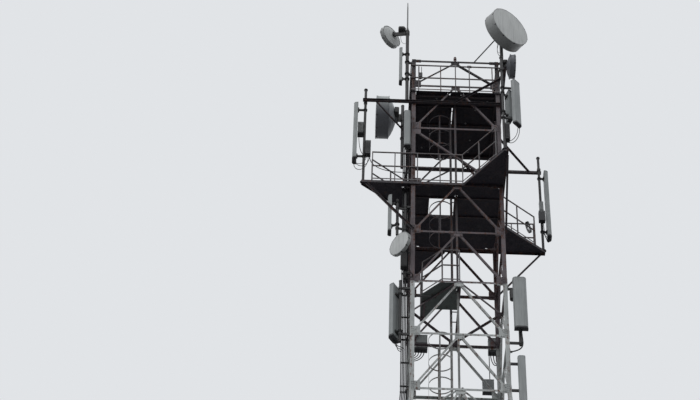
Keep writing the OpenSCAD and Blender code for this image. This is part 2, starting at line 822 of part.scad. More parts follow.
module leg_brackets() {
    color("#5e5a58") place() {
        for (p = leg_pipe_rows, z = p[4]) leg_arm(p[0], p[3], z);
        for (q = leg_panel_rows, z = q[7])
            bracket(leg_pipe_rows[q[0]][0], leg_pipe_rows[q[0]][3], leg_pipe_rows[q[0]][0] + q[1], q[2],
                q[3] + z, arm_h, q[5] / 2);
        for (k = pipe_links, z = k[2]) pipe_link(leg_pipe_rows[k[0]], leg_pipe_rows[k[1]], z);
        pipe_stay();
    }
}

// two collars and the bar between them
module pipe_link(p, q, z) {
    run = q[0] - p[0];
    start = p[3] + collar_t / 2;
    union() {
        collar(p[0], p[3], z, arm_h);
        collar(q[0], q[3], z, arm_h);
        translate([p[0][0], p[0][1], z + side_gap]) rotate([0, 0, atan2(run[1], run[0])])
            translate([start, -arm_w / 2, 0])
                cube([norm(run) - start - q[3] - collar_t / 2, arm_w, arm_h - 2 * side_gap]);
    }
}

// the tall pipe on the right is stayed down to the top ring
stay_w = 30;
stay_foot = 550;
module pipe_stay() {
    at = leg_pipe_rows[1][0];
    z0 = level_7 + bar_w / 2;
    z1 = leg_pipe_rows[1][2] - arm_h - 40;
    difference() {
        union() {
            translate([at[0], at[1], z1]) cylinder(r = top_pipe_r + collar_t, h = arm_h, $fn = pipe_fn);
            translate([0, at[1] + stay_w * 4 / 3, 0]) rotate([90, 0, 0]) linear_extrude(stay_w)
                polygon([[stay_foot, z0], [stay_foot + stay_w, z0], [at[0], z1 + arm_h],
                    [at[0] - stay_w, z1 + arm_h]]);
        }
        translate([at[0], at[1], z1 - 2 * arm_h])
            cylinder(r = top_pipe_r + play, h = 4 * arm_h, $fn = pipe_fn);
    }
}

// the tip pipes stand on the tips of the main deck and lean on the outrigger frame
tip_pipe = [-tip_reach + 50, -deck_half + 100];
tip_pipe_top = top_z + 80;
function turned(p, i) = i == 0 ? p : turned([-p[1], p[0]], i - 1);
module tip_pipes() {
    color("#6e6a68") place() four_sides() translate([tip_pipe[0], tip_pipe[1], main_z + deck_t])
        cylinder(r = tip_pipe_r, h = tip_pipe_top - main_z - deck_t, $fn = pipe_fn);
}

// rows of panels at the tips: which tip, then as for the legs
tip_panel_rows = [
    [0, [-210, 0], 180, main_z + 900, 2380, panel_w, panel_d, [150, 2150]],
    [1, [340, 20], 315, main_z + 1050, 1820, panel_w, panel_d, [260, 1560]],
    [1, [130, 170], 20, main_z + 1420, 1200, panel_w, panel_d, [150, 980]],
    [2, [140, 0], 0, main_z + 540, 2760, panel_w, panel_d, [220, 2500]],
    [3, [0, 210], 90, main_z + 700, 2380, panel_w, panel_d, [150, 2150]]
];

module tip_panels() {
    color("#a7adae") place() for (q = tip_panel_rows)
        panel(turned(tip_pipe, q[0]) + q[1], q[2], q[3], q[4], q[5], q[6]);
}

module tip_brackets() {
    color("#5e5a58") place() {
        for (q = tip_panel_rows, z = q[7])
            bracket(turned(tip_pipe, q[0]), tip_pipe_r, turned(tip_pipe, q[0]) + q[1], q[2],
                q[3] + z, arm_h, q[5] / 2);
        four_sides() outrigger_clamp();
    }
}

module outrigger_clamp() {
    width = 2 * (tip_pipe_r + collar_t);
    depth = tip_pipe[1] + half_top + tip_pipe_r + collar_t;
    difference() {
        translate([tip_pipe[0] - width / 2, -half_top, outrigger_z - out_w / 2]) cube([width, depth, out_w]);
        translate([tip_pipe[0], tip_pipe[1], outrigger_z - out_w])
            cylinder(r = tip_pipe_r + play, h = 2 * out_w, $fn = pipe_fn);
    }
}

// dish with a closed front: a hub, a domed back and a straight shroud
module dish(row) {
    r = row[4] / 2;
    hub = row[7];
    rim = hub + row[6];
    front = rim + row[5];
    at = leg_pipe_rows[row[0]][0] + offset_of(row[1]);
    translate([at[0], at[1], row[3]]) rotate([0, 0, row[2]]) rotate([0, 90, 0])
        rotate_extrude($fn = 64) polygon([[0, 0], [r * 0.2, 0], [r * 0.2, hub],
            [r * 0.55, hub + row[6] * 0.3], [r * 0.8, hub + row[6] * 0.64], [r - 8, rim], [r, rim],
            [r, front], [r - 10, front + 4], [r / 2, front + 16], [0, front + 20]]);
}

// rows of dishes: pipe, arm as [length, bearing], bearing, height, diameter, shroud, dome, hub length
dish_rows = [
    [1, [145, 262], 307, level_6 + 2300, dish_d, 354, 80, 10],
    [1, [115, 0], 0, level_6 + 1000, small_dish_d, 150, 105, 10],
    [0, [420, 172], 135, level_6 + 2420, small_dish_d, 130, 70, 20],
    [2, [170, 180], 180, level_6 + 1460, deep_dish_d, 380, 230, 40],
    [3, [100, 222], 222, level_3 - 560, small_dish_d, 80, 30, 10]
];
function offset_of(arm) = [arm[0] * cos(arm[1]), arm[0] * sin(arm[1])];
mount_h = [240, 130, 160, 340, 160];

module dish_top_right() { color("#b9bdbd") place() dish(dish_rows[0]); }
module drum_dish() { color("#4a4e52") place() dish(dish_rows[1]); }
module dish_top_left() { color("#9da2a2") place() dish(dish_rows[2]); }
module dish_left() { color("#50575b") place() dish(dish_rows[3]); }
module dish_lower_left() { color("#a3a9a8") place() dish(dish_rows[4]); }

module dish_mounts() {
    color("#4c4a4b") place() for (i = [0:4]) {
        q = dish_rows[i];
        p = leg_pipe_rows[q[0]];
        bracket(p[0], p[3], p[0] + offset_of(q[1]), q[2], q[3] - mount_h[i] / 2, mount_h[i], 3 * arm_w);
    }
}

// boxes: place of the corner with the smallest values, then size
tip_side = -tip_pipe[0];
radio_rows = [
    [[-1090, half_top - bar_in, level_2 - 80], [380, 180, 500]],
    [[970, half_top, level_2 - 100], [370, 180, 500]],
    [[780, half_top - diag_in, level_1 + 310], [310, 150, 430]],
    [[-tip_side - 200, tip_pipe[1] - 100, main_z + 2010], [200 - tip_pipe_r, 200, 440]],
    [[-tip_side + tip_pipe_r, tip_pipe[1] - 80, main_z + 1150], [150, 160, 540]],
    [[tip_side - 90, -tip_pipe[1] - tip_pipe_r - 140, main_z + 1130], [180, 140, 380]],
    [[tip_side - 60, -tip_pipe[1] - tip_pipe_r - 110, main_z + 1530], [120, 110, 400]],
    [[-tip_pipe[1] + tip_pipe_r, -tip_side - 20, main_z + 480], [120, 170, 640]],
    [[-1095, rail_w / 2 - rail_line, top_z + 700], [110, 90, 180]]
];
module radio_units() {
    color("#8f9493") place() for (q = radio_rows) translate(q[0]) cube(q[1]);
}

// slim antenna on the pipe at the top left, up to the highest point of the tower
whip_h = 1370;
module whip_antenna() {
    p = leg_pipe_rows[0];
    color("#c9cccb") place() translate([p[0][0], p[0][1], p[2]]) rotate_extrude($fn = pipe_fn)
        polygon([[0, 0], [30, 0], [30, 110], [22, 120], [20, whip_h * 0.8], [12, whip_h - 8], [0, whip_h]]);
}

// lamp on the middle of the near side of the top ring
module warning_lamp() {
    color("#7d3a34") place() translate([0, -half_top + bar_in + bar_w / 2, level_7 + bar_w / 2])
        rotate_extrude($fn = pipe_fn) polygon([[0, 0], [38, 0], [38, 40], [26, 46], [26, 90],
            [48, 96], [48, 110], [44, 116], [44, 190], [34, 215], [14, 228], [0, 230]]);
}

// cables beside the near left leg: upright above the knee, leaning with the leg below it
cable_gap = 70;
cable_pitch = 38;
cable_y = -half_top + 190;
cable_foot = 600;
cable_top = outrigger_z - 230;
function cable_x(k) = -half_top - cable_gap - k * cable_pitch;

// sets the child in the frame of the leaning leg, with the knee's corner as the origin
module leaning() {
    translate([-half_top, -half_top, knee_z]) rotate([-tilt, lean, 0]) children();
}

// a sleeve joins the leaning length of a cable to the upright one
sleeve_t = 4;
sleeve_h = 60;
module feeder_cables() {
    drop = (knee_z - cable_foot) * leg_stretch;
    color("#2a2a2d") place() for (k = [0:cables - 1]) union() {
        translate([cable_x(k), cable_y, knee_z + side_gap])
            cylinder(r = cable_r, h = cable_top - knee_z - side_gap, $fn = 16);
        translate([cable_x(k), cable_y, knee_z - sleeve_h / 2])
            cylinder(r = cable_r + sleeve_t, h = sleeve_h, $fn = 16);
        leaning() translate([cable_x(k) + half_top, cable_y + half_top, -drop])
            cylinder(r = cable_r, h = drop - side_gap, $fn = 16);
    }
}

// a clamp bar carries the cables on its near side; a lug at its end is fixed to the side of the leg
clamp_step = 800;
clamp_h = 40;
clamp_t = 26;
lug_t = 12;
lug_d = 150;
module cable_clamps() {
    reach = cable_gap + cables * cable_pitch - 20;
    depth = cable_y + half_top + cable_r;
    color("#77797a") place() {
        for (z = [knee_z + 200:clamp_step:cable_top - clamp_h])
            translate([-half_top, -half_top, z]) clamp(reach, depth);
        leaning() for (z = [clamp_step:clamp_step:(knee_z - cable_foot) * leg_stretch - 2 * clamp_h])
            translate([-seam, 0, -z]) clamp(reach, depth);
    }
}

module clamp(reach, depth) {
    union() {
        translate([-reach, depth, 0]) cube([reach, clamp_t, clamp_h]);
        translate([-lug_t, depth + clamp_t - lug_d, 0]) cube([lug_t, lug_d, clamp_h]);
    }
}

base_plates();
leg_near_left();
leg_near_right();
leg_far_left();
leg_far_right();
base_bracing();
lower_bracing_near();
lower_bracing_right();
lower_bracing_far();
lower_bracing_left();
upper_bracing_near();
upper_bracing_right();
upper_bracing_far();
upper_bracing_left();
plan_bracing();
main_deck();
main_deck_beams();
main_deck_struts();
main_deck_railing();
top_deck();
top_deck_beams();
top_deck_railing();
trapdoor();
outrigger_frame();
rest_deck();
rest_deck_railing();
lower_ladder();
upper_ladder();
lower_cage();
upper_cage();
ladder_column();
tip_pipes();
tip_panels();
tip_brackets();
leg_pipes();
leg_panels();
leg_brackets();
dish_top_right();
drum_dish();
dish_top_left();
dish_left();
dish_lower_left();
dish_mounts();
radio_units();
whip_antenna();
warning_lamp();
feeder_cables();
cable_clamps();
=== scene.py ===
"""The looks of the cell tower: weathered paint, bolts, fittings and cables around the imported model."""
from itertools import product
import json
import math

import bmesh
import bpy
from mathutils import Matrix, Vector


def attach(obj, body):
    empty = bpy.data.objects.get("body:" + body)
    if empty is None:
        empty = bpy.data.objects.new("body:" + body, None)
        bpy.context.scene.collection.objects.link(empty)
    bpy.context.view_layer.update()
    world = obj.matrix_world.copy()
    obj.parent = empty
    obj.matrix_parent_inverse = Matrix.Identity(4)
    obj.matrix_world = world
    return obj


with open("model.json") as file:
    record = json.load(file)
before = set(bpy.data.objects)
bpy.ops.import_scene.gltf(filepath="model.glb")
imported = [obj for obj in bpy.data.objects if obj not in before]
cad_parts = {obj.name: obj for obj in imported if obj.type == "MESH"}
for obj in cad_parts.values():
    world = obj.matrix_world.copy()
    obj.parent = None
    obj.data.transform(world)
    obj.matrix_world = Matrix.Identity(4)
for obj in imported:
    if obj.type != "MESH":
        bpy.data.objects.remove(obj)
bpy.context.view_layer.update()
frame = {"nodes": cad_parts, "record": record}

scene = bpy.context.scene

# sizes in metres, as in part.scad; places are given from the tower's axis
AXIS = 2.64
HALF_TOP = 1.29
HALF_BASE = 2.7
KNEE = 24.10
SLOPE = (HALF_BASE - HALF_TOP) / KNEE
LEAN = math.atan(SLOPE)
LEVELS = [KNEE, 25.99, 27.88, 29.77, 31.66, 34.03, 35.92, 37.06]
L0, L1, L2, L3, L4, _, L6, L7 = LEVELS
DIAGONAL_END = 5         # the level where the single diagonal ends, so that no chevron meets it
LOW_BAYS = 6
LOW_STEP = 0.3           # each tall bay is this much taller than the one above it
LEG_W, LEG_T = 0.115, 0.012
BAR_T = 0.008
SIDE_GAP = 0.005
GUSSET_T = 0.010
FOOT_T, ANCHOR_PITCH = 0.030, 0.380
MAIN_Z, TOP_Z, OUT_Z = 31.6925, 35.62, 35.13
RAIL_LINE = 1.315
PLATE_T, COLLAR_T, COLLAR_H = 0.030, 0.014, 0.070
TIP = (-2.64, -1.235)
TIP_R = 0.038
DOWN, UP = (0, 0, -1), (0, 0, 1)


def turned(p, i):
    """The point after i quarter turns about the tower's axis."""
    for _ in range(i):
        p = (-p[1], p[0])
    return p


# pipes on the legs: x, y, lower end, upper end, radius
LEG_PIPES = [
    (-1.435, -1.290, OUT_Z + 0.08, L6 + 2.56, 0.050), (1.400, -1.290, L6 - 0.04, L6 + 2.60, 0.050),
    (-1.475, 1.290, L6 - 0.82, L6 + 2.03, 0.050), (-1.440, -1.190, L2 + 0.14, L4 - 0.36, 0.040),
    (-1.415, -1.240, MAIN_Z + 1.30, TOP_Z - 0.87, 0.040), (-1.550, -1.220, L1 - 0.29, L2 + 0.02, 0.040),
    (1.580, -1.230, L1 - 0.27, L2 + 0.12, 0.040), (1.570, -1.215, L0 - 0.80, L1 - 0.69, 0.040),
    (-1.660, -1.240, L3 - 0.14, L4 - 0.64, 0.040)]
# heights over L6 of the two collars on each of the first three
TOP_COLLARS = [(0.47, 1.01), (0.47, 1.12), (0.47, 1.01)]
TIP_PIPES = [(*turned(TIP, i), MAIN_Z + 0.008, TOP_Z + 0.08, TIP_R) for i in range(4)]
# panels: pipe, place of the back from it, bearing, foot, length, width, depth, heights of the brackets
PANELS = [
    (LEG_PIPES[0], (-0.150, 0), 180, L6 + 0.08, 1.54, 0.20, 0.090, (0.150, 1.300)),
    (LEG_PIPES[4], (0, -0.100), 270, MAIN_Z + 1.41, 1.49, 0.19, 0.110, (0.190, 1.240)),
    (LEG_PIPES[8], (-0.160, 0.075), 180, L3 + 0.01, 1.40, 0.24, 0.100, (0.230, 1.100)),
    (LEG_PIPES[5], (-0.092, 0.060), 147, L1 - 0.11, 1.87, 0.36, 0.160, (0.170, 1.500)),
    (LEG_PIPES[6], (0.020, -0.100), 270, L1 + 0.16, 1.81, 0.36, 0.150, (0.200, 1.230)),
    (LEG_PIPES[7], (0, -0.090), 270, L0 - 0.72, 1.82, 0.20, 0.120, (0.220, 1.400)),
    (TIP_PIPES[0], (-0.210, 0), 180, MAIN_Z + 0.90, 2.38, 0.28, 0.120, (0.150, 2.150)),
    (TIP_PIPES[1], (0.340, 0.020), 315, MAIN_Z + 1.05, 1.82, 0.28, 0.120, (0.260, 1.560)),
    (TIP_PIPES[1], (0.130, 0.170), 20, MAIN_Z + 1.42, 1.20, 0.28, 0.120, (0.150, 0.980)),
    (TIP_PIPES[2], (0.140, 0), 0, MAIN_Z + 0.54, 2.76, 0.28, 0.120, (0.220, 2.500)),
    (TIP_PIPES[3], (0, 0.210), 90, MAIN_Z + 0.70, 2.38, 0.28, 0.120, (0.150, 2.150))]
# dishes: pipe, arm as length and bearing, bearing, height, radius, shroud, dome, hub
DISHES = [
    (LEG_PIPES[1], (0.145, 262), 307, L6 + 2.30, 0.68, 0.354, 0.080, 0.010),
    (LEG_PIPES[1], (0.115, 0), 0, L6 + 1.00, 0.36, 0.150, 0.105, 0.010),
    (LEG_PIPES[0], (0.420, 172), 135, L6 + 2.42, 0.36, 0.130, 0.070, 0.020),
    (LEG_PIPES[2], (0.170, 180), 180, L6 + 1.46, 0.66, 0.380, 0.230, 0.040),
    (LEG_PIPES[3], (0.100, 222), 222, L3 - 0.56, 0.36, 0.080, 0.030, 0.010)]
DARK_DISHES = (1, 3)
FAR_LEFT_DISH = 3        # its shroud stays as the solid has it
# radio units on the dishes' backs: dish, centre in the dish's frame, half sizes
DISH_RADIOS = [
    (0, (0.13, -0.12, -0.035), (0.11, 0.10, 0.060)),
    (1, (-0.17, 0.0, -0.010), (0.07, 0.09, 0.05)),
    (3, (0.0, 0.24, 0.03), (0.12, 0.12, 0.06))]
# boxes: lower corner and size
BOXES = [
    ((-1.090, HALF_TOP - 0.004, L2 - 0.08), (0.38, 0.18, 0.50)),
    ((0.970, HALF_TOP, L2 - 0.10), (0.37, 0.18, 0.50)),
    ((0.780, HALF_TOP - 0.022, L1 + 0.31), (0.31, 0.15, 0.43)),
    ((TIP[0] - 0.200, TIP[1] - 0.100, MAIN_Z + 2.01), (0.162, 0.20, 0.44)),
    ((TIP[0] + TIP_R, TIP[1] - 0.080, MAIN_Z + 1.15), (0.15, 0.16, 0.54)),
    ((2.550, 1.057, MAIN_Z + 1.13), (0.18, 0.14, 0.38)),
    ((2.580, 1.087, MAIN_Z + 1.53), (0.12, 0.11, 0.40)),
    ((1.273, -2.660, MAIN_Z + 0.48), (0.12, 0.17, 0.64))]
FINS_IN_FRONT = (3, 4, 7)       # the other boxes have their fins on the far side
BLACK_UP_TO = {0: 0.22, 1: 0.20, 4: 0.50, 5: 0.35, 7: 0.60}
HUNG_LAMP = ((-1.095, -1.300, TOP_Z + 0.70), (0.11, 0.09, 0.18))


def tall_z(i):
    """Height of the upper end of the i-th tall bay, counted from the knee down."""
    z = KNEE
    for k in range(i):
        z -= KNEE / LOW_BAYS + (k - (LOW_BAYS - 1) / 2) * LOW_STEP
    return z


TOWER = Matrix.Translation((AXIS, AXIS, 0))


def spin(degrees, axis="Z"):
    return Matrix.Rotation(math.radians(degrees), 4, axis)


def at(x, y, z):
    """A frame at a place given from the tower's axis."""
    return TOWER @ Matrix.Translation((x, y, z))


def upper_side(i):
    """From a side's own frame (along, inwards, up) to the row frame, for the upright part."""
    return TOWER @ spin(90 * i) @ Matrix.Translation((0, -HALF_TOP, 0))


def lower_side(i):
    """The same for the leaning part: heights are measured along the face, from the knee."""
    return TOWER @ spin(90 * i) @ Matrix.Translation((0, -HALF_TOP, KNEE)) @ Matrix.Rotation(-LEAN, 4, "X")


def dish_frame(dish):
    """A dish looks along its frame's Z, and its arm ends at the origin."""
    pipe, (reach, arm_bearing), bearing, z = dish[:4]
    a = math.radians(arm_bearing)
    return (at(pipe[0] + reach * math.cos(a), pipe[1] + reach * math.sin(a), z) @ spin(bearing)
            @ spin(90, "Y"))


# ---- materials
class Tree:
    """A short way to write a material's nodes."""

    def __init__(self, name, roughness=0.6, metallic=0.0):
        self.mat = bpy.data.materials.new(name)
        self.mat.use_nodes = True
        self.nodes = self.mat.node_tree.nodes
        self.links = self.mat.node_tree.links
        self.nodes.clear()
        out = self.nodes.new("ShaderNodeOutputMaterial")
        self.shader = self.nodes.new("ShaderNodeBsdfPrincipled")
        self.shader.inputs["Roughness"].default_value = roughness
        self.shader.inputs["Metallic"].default_value = metallic
        self.links.new(self.shader.outputs[0], out.inputs[0])
        self.place = self.nodes.new("ShaderNodeTexCoord").outputs["Object"]

    def put(self, socket, value):
        """Links a socket to the input, or sets its value."""
        if isinstance(value, bpy.types.NodeSocket):
            self.links.new(value, socket)
        else:
            socket.default_value = value

    def scaled(self, scale):
        n = self.nodes.new("ShaderNodeMapping")
        self.links.new(self.place, n.inputs["Vector"])
        n.inputs["Scale"].default_value = scale
        return n.outputs[0]

    def noise(self, scale, detail, rough=0.5, stretch=(1, 1, 1)):
        n = self.nodes.new("ShaderNodeTexNoise")
        self.links.new(self.scaled(stretch), n.inputs["Vector"])
        n.inputs["Scale"].default_value = scale
        n.inputs["Detail"].default_value = detail
        n.inputs["Roughness"].default_value = rough
        return n.outputs["Fac"]

    def cells(self, scale):
        n = self.nodes.new("ShaderNodeTexVoronoi")
        self.links.new(self.place, n.inputs["Vector"])
        n.inputs["Scale"].default_value = scale
        return n.outputs["Distance"]

    def step(self, value, low, high, out_low=0.0, out_high=1.0):
        """A smooth step of the value from low to high."""
        n = self.nodes.new("ShaderNodeMapRange")
        n.interpolation_type = "SMOOTHSTEP"
        self.put(n.inputs[0], value)
        for k, v in enumerate((low, high, out_low, out_high)):
            n.inputs[k + 1].default_value = v
        return n.outputs[0]

    def math(self, op, a, b=0.0, c=0.0):
        n = self.nodes.new("ShaderNodeMath")
        n.operation = op
        for k, v in enumerate((a, b, c)):
            self.put(n.inputs[k], v)
        return n.outputs[0]

    def mix(self, factor, a, b):
        """From a at 0 to b at 1; each is a colour or a socket."""
        n = self.nodes.new("ShaderNodeMix")
        n.data_type = "RGBA"
        self.put(n.inputs[0], factor)
        for k, v in ((6, a), (7, b)):
            self.put(n.inputs[k], v if isinstance(v, bpy.types.NodeSocket) else (*v, 1.0))
        return n.outputs[2]

    def along(self, axis):
        """The place along the frame's X (0), Y (1) or Z (2)."""
        n = self.nodes.new("ShaderNodeSeparateXYZ")
        self.links.new(self.place, n.inputs[0])
        return n.outputs[axis]

    def ragged_height(self):
        """The height, uneven by a few centimetres, for edges of paint."""
        return self.math("MULTIPLY_ADD", self.noise(12, 3), 0.08, self.along(2))

    def above(self, z):
        """1 above the height and 0 below it, with a ragged edge."""
        return self.step(self.ragged_height(), z - 0.03, z + 0.03)

    def finish(self, colour, roughness=None, bump=None, distance=0.002, strength=0.5):
        self.links.new(colour, self.shader.inputs["Base Color"])
        if roughness is not None:
            self.links.new(roughness, self.shader.inputs["Roughness"])
        if bump is not None:
            n = self.nodes.new("ShaderNodeBump")
            n.inputs["Strength"].default_value = strength
            n.inputs["Distance"].default_value = distance
            self.links.new(bump, n.inputs["Height"])
            self.links.new(n.outputs[0], self.shader.inputs["Normal"])
        return self.mat


RUST_DARK = (0.045, 0.020, 0.013)
RUST_RED = (0.150, 0.055, 0.028)
DIRT = (0.030, 0.027, 0.029)
SOOT = (0.020, 0.016, 0.020)
DUST = (0.10, 0.095, 0.09)
COAT_EDGE = 27.94                       # railings and ladders are pale below this height
BAND = 9.3                              # height of a band of paint
SOOT_STARTS, SOOT_COVERS = 35.2, 36.4   # heights between which soot takes over the bands
RUST_STARTS, RUST_FULL = 29.2, 30.2     # the red paint rusts more from here
RUST_FADES, RUST_ENDS = 32.0, 33.2      # up to here
DARK_DECKS = 30.0                       # the decks above this height are dark


def weather(t, base, rust, dirt, extra=None):
    """Rust that spreads from spots and runs down, and dirt, over the base colour; extra adds rust."""
    spots = t.noise(9, 5, 0.65)
    runs = t.noise(5, 4, 0.6, (3, 3, 0.22))
    spread = t.math("MULTIPLY_ADD", runs, 0.55, t.math("MULTIPLY", spots, 0.45))
    if extra is not None:
        spread = t.math("MULTIPLY_ADD", extra, 0.05, spread)
    limit = 0.62 - 0.14 * rust
    rusty = t.step(spread, limit, limit + 0.05)
    edge = t.step(spread, limit - 0.05, limit)
    shade = t.mix(t.step(t.noise(40, 3), 0.35, 0.65), RUST_DARK, RUST_RED)
    stained = t.mix(t.math("MULTIPLY", edge, 0.35), base, RUST_RED)
    coloured = t.mix(rusty, stained, shade)
    soot = t.math("MULTIPLY", t.step(t.noise(3.1, 5, 0.6, (1, 1, 0.35)), 0.42, 0.72), dirt)
    grime = t.mix(soot, coloured, DIRT)
    rough = t.math("MULTIPLY_ADD", rusty, 0.25, t.step(t.noise(14, 3), 0.3, 0.7, 0.52, 0.68))
    bump = t.math("MULTIPLY_ADD", rusty, t.noise(160, 3, 0.7), t.math("MULTIPLY", t.noise(60, 3), 0.35))
    return t.finish(grime, rough, bump, 0.0025, 0.6)


def rusty_paint(name, paint, chalk, rust, dirt, low=None, low_chalk=None):
    """Faded, chalky paint; low and low_chalk are its colours below the edge of the pale coat."""
    t = Tree(name)
    patches = t.step(t.noise(1.7, 4, 0.6), 0.35, 0.7)
    base = t.mix(patches, paint, chalk)
    if low is not None:
        base = t.mix(t.above(COAT_EDGE), t.mix(patches, low, low_chalk), base)
    return weather(t, base, rust, dirt)


def banded_paint(name, red, red_chalk, white, white_chalk):
    """Red and pale bands up the tower; the red rusts most under the main deck and is sooty at the top."""
    t = Tree(name)
    is_red = t.math("MODULO", t.math("FLOOR", t.math("DIVIDE", t.ragged_height(), BAND)), 2.0)
    patches = t.step(t.noise(1.7, 4, 0.6), 0.35, 0.7)
    base = t.mix(is_red, t.mix(patches, white, white_chalk), t.mix(patches, red, red_chalk))
    base = t.mix(t.step(t.along(2), SOOT_STARTS, SOOT_COVERS), base, SOOT)
    worst = t.math("MULTIPLY", t.step(t.along(2), RUST_STARTS, RUST_FULL),
                   t.step(t.along(2), RUST_ENDS, RUST_FADES))
    return weather(t, base, 0.38, 0.45, worst)


def zinc(name, light, dirt, metallic=0.35):
    """Galvanised steel gone dull, with its mottled grain."""
    t = Tree(name, metallic=metallic)
    grain = t.cells(55)
    grey = t.mix(t.step(grain, 0.2, 0.7), (light * 0.8,) * 3, (light, light, light * 1.02))
    soot = t.math("MULTIPLY", t.step(t.noise(6, 4, 0.6, (1, 1, 0.4)), 0.4, 0.7), dirt)
    colour = t.mix(soot, grey, DIRT)
    stain = t.step(t.noise(7, 5, 0.7, (2, 2, 0.5)), 0.62, 0.68)
    return t.finish(t.mix(stain, colour, RUST_DARK), t.step(grain, 0.2, 0.7, 0.48, 0.62),
                    t.noise(90, 2), 0.001, 0.35)


def shell(name, colour, streak, painted_light=None):
    """Moulded plastic with fine orange peel, streaked by rain and greyed by dust.

    The last argument, if given, is (low, high, colour) for painted light and shade: on the tower's left the
    main colour, which stands for shade, gives way to this paler one, painted light, from the low mark up to
    the high one."""
    t = Tree(name, roughness=0.45)
    runs = t.step(t.noise(14, 4, 0.6, (2.5, 2.5, 0.10)), 0.45, 0.75)
    patch = t.step(t.noise(2.2, 3), 0.3, 0.7)
    base = t.mix(t.math("MULTIPLY", patch, 0.35), colour, tuple(c * 0.82 for c in colour))
    # painted light and shade: on the tower's left the top turns pale as if lit, and the part below keeps the
    # darker colour as if shaded
    if painted_light:
        left = t.step(t.along(0), AXIS + 0.1, AXIS - 0.1)
        pale = t.math("MULTIPLY", t.step(t.along(2), painted_light[0], painted_light[1]), left)
        base = t.mix(pale, base, painted_light[2])
    dusty = t.mix(t.math("MULTIPLY", runs, 0.55), base, streak)
    specks = t.step(t.cells(38), 0.09, 0.05)
    return t.finish(t.mix(t.math("MULTIPLY", specks, 0.5), dusty, DIRT), t.step(patch, 0, 1, 0.42, 0.58),
                    t.noise(240, 2), 0.0006, 0.25)


def deck_plate(name):
    """Chequered plate, dark on the upper decks and grey-green on the rest deck, with rust and dust."""
    t = Tree(name)
    waves = []
    for turn in (45, -45):
        w = t.nodes.new("ShaderNodeTexWave")
        m = t.nodes.new("ShaderNodeMapping")
        m.inputs["Rotation"].default_value = (0, 0, math.radians(turn))
        t.links.new(t.place, m.inputs["Vector"])
        t.links.new(m.outputs[0], w.inputs["Vector"])
        w.inputs["Scale"].default_value = 9.0
        waves.append(t.step(w.outputs["Fac"], 0.75, 0.95))
    pattern = t.math("MAXIMUM", *waves)
    patches = t.step(t.noise(2.3, 5, 0.65), 0.4, 0.66)
    dark = t.mix(patches, (0.012, 0.010, 0.018), (0.022, 0.016, 0.024))
    grey = t.mix(patches, (0.068, 0.082, 0.078), (0.094, 0.108, 0.102))
    base = t.mix(t.above(DARK_DECKS), grey, dark)
    rusty = t.mix(t.step(t.noise(7, 5, 0.7), 0.58, 0.68), base, RUST_DARK)
    dust = t.math("MULTIPLY", t.step(pattern, 0.6, 0.0), t.step(t.noise(4, 3), 0.5, 0.8, 0.0, 0.35))
    return t.finish(t.mix(dust, rusty, DUST), t.step(t.noise(20, 2), 0.3, 0.7, 0.55, 0.8),
                    t.math("MULTIPLY_ADD", pattern, 0.8, t.noise(70, 3)), 0.0015, 0.5)


def rubber(name):
    """Black sheathing, dusty and a little crazed."""
    t = Tree(name, roughness=0.62)
    t.shader.inputs["Specular IOR Level"].default_value = 0.2
    dusty = t.mix(t.step(t.noise(8, 4, 0.6), 0.45, 0.75, 0.0, 0.5), (0.010, 0.010, 0.012),
                  (0.06, 0.058, 0.057))
    return t.finish(dusty, t.step(t.noise(30, 2), 0.3, 0.7, 0.5, 0.72), t.noise(180, 2), 0.0006, 0.3)


def lens(name):
    """Sooty red glass."""
    t = Tree(name, roughness=0.28)
    clean = t.mix(t.step(t.noise(18, 3), 0.4, 0.6), (0.060, 0.014, 0.012), (0.10, 0.030, 0.024))
    t.shader.inputs["Coat Weight"].default_value = 0.4
    return t.finish(t.mix(t.step(t.noise(11, 4, 0.6), 0.5, 0.8, 0.0, 0.6), clean, DIRT),
                    t.step(t.noise(30, 3), 0.4, 0.7, 0.22, 0.5), t.noise(90, 2), 0.0008, 0.25)


# the material of each slot of the record, and two that only pieces of the scene have
FINISH = {
    "base_steel": zinc("base_zinc", 0.36, 0.6),
    "tower_paint": banded_paint("tower_paint", (0.082, 0.060, 0.070), (0.135, 0.112, 0.122),
                                (0.40, 0.42, 0.415), (0.50, 0.52, 0.51)),
    "deck_steel": deck_plate("deck_steel"),
    "beam_paint": rusty_paint("beam_paint", (0.026, 0.020, 0.028), (0.042, 0.032, 0.040), 0.35, 0.6),
    "railing_paint": rusty_paint("railing_paint", (0.115, 0.105, 0.110), (0.17, 0.16, 0.165), 0.45, 0.5,
                                 (0.33, 0.34, 0.33), (0.42, 0.43, 0.42)),
    "ladder_steel": rusty_paint("ladder_paint", (0.052, 0.044, 0.052), (0.085, 0.075, 0.084), 0.4, 0.45,
                                (0.27, 0.275, 0.27), (0.36, 0.365, 0.355)),
    "pipe_steel": zinc("pipe_zinc", 0.050, 0.75, 0.2),
    "bracket_steel": zinc("bracket_zinc", 0.038, 0.75, 0.2),
    "antenna_shell": shell("panel_shell", (0.305, 0.325, 0.325), (0.17, 0.18, 0.18)),
    "dish_shell": shell("dish_shell", (0.59, 0.605, 0.595), (0.26, 0.27, 0.27)),
    # the dark dishes' shell: dark, and on the tower's left pale from L6 + 0.95 up to L6 + 2.0; there the dark
    # lower part is painted shade and the pale top is painted light
    "dark_dish": shell("dark_shell", (0.155, 0.162, 0.180), (0.05, 0.055, 0.06),
                       (L6 + 0.95, L6 + 2.0, (0.46, 0.49, 0.48))),
    "radio_paint": shell("radio_paint", (0.20, 0.215, 0.215), (0.09, 0.09, 0.09)),
    "whip_shell": shell("whip_shell", (0.20, 0.205, 0.205), (0.12, 0.12, 0.12)),
    "lamp_glass": lens("lamp_lens"),
    "cable_sheath": rubber("cable_black")}
shroud_shell = shell("shroud_shell", (0.37, 0.38, 0.375), (0.13, 0.135, 0.135))
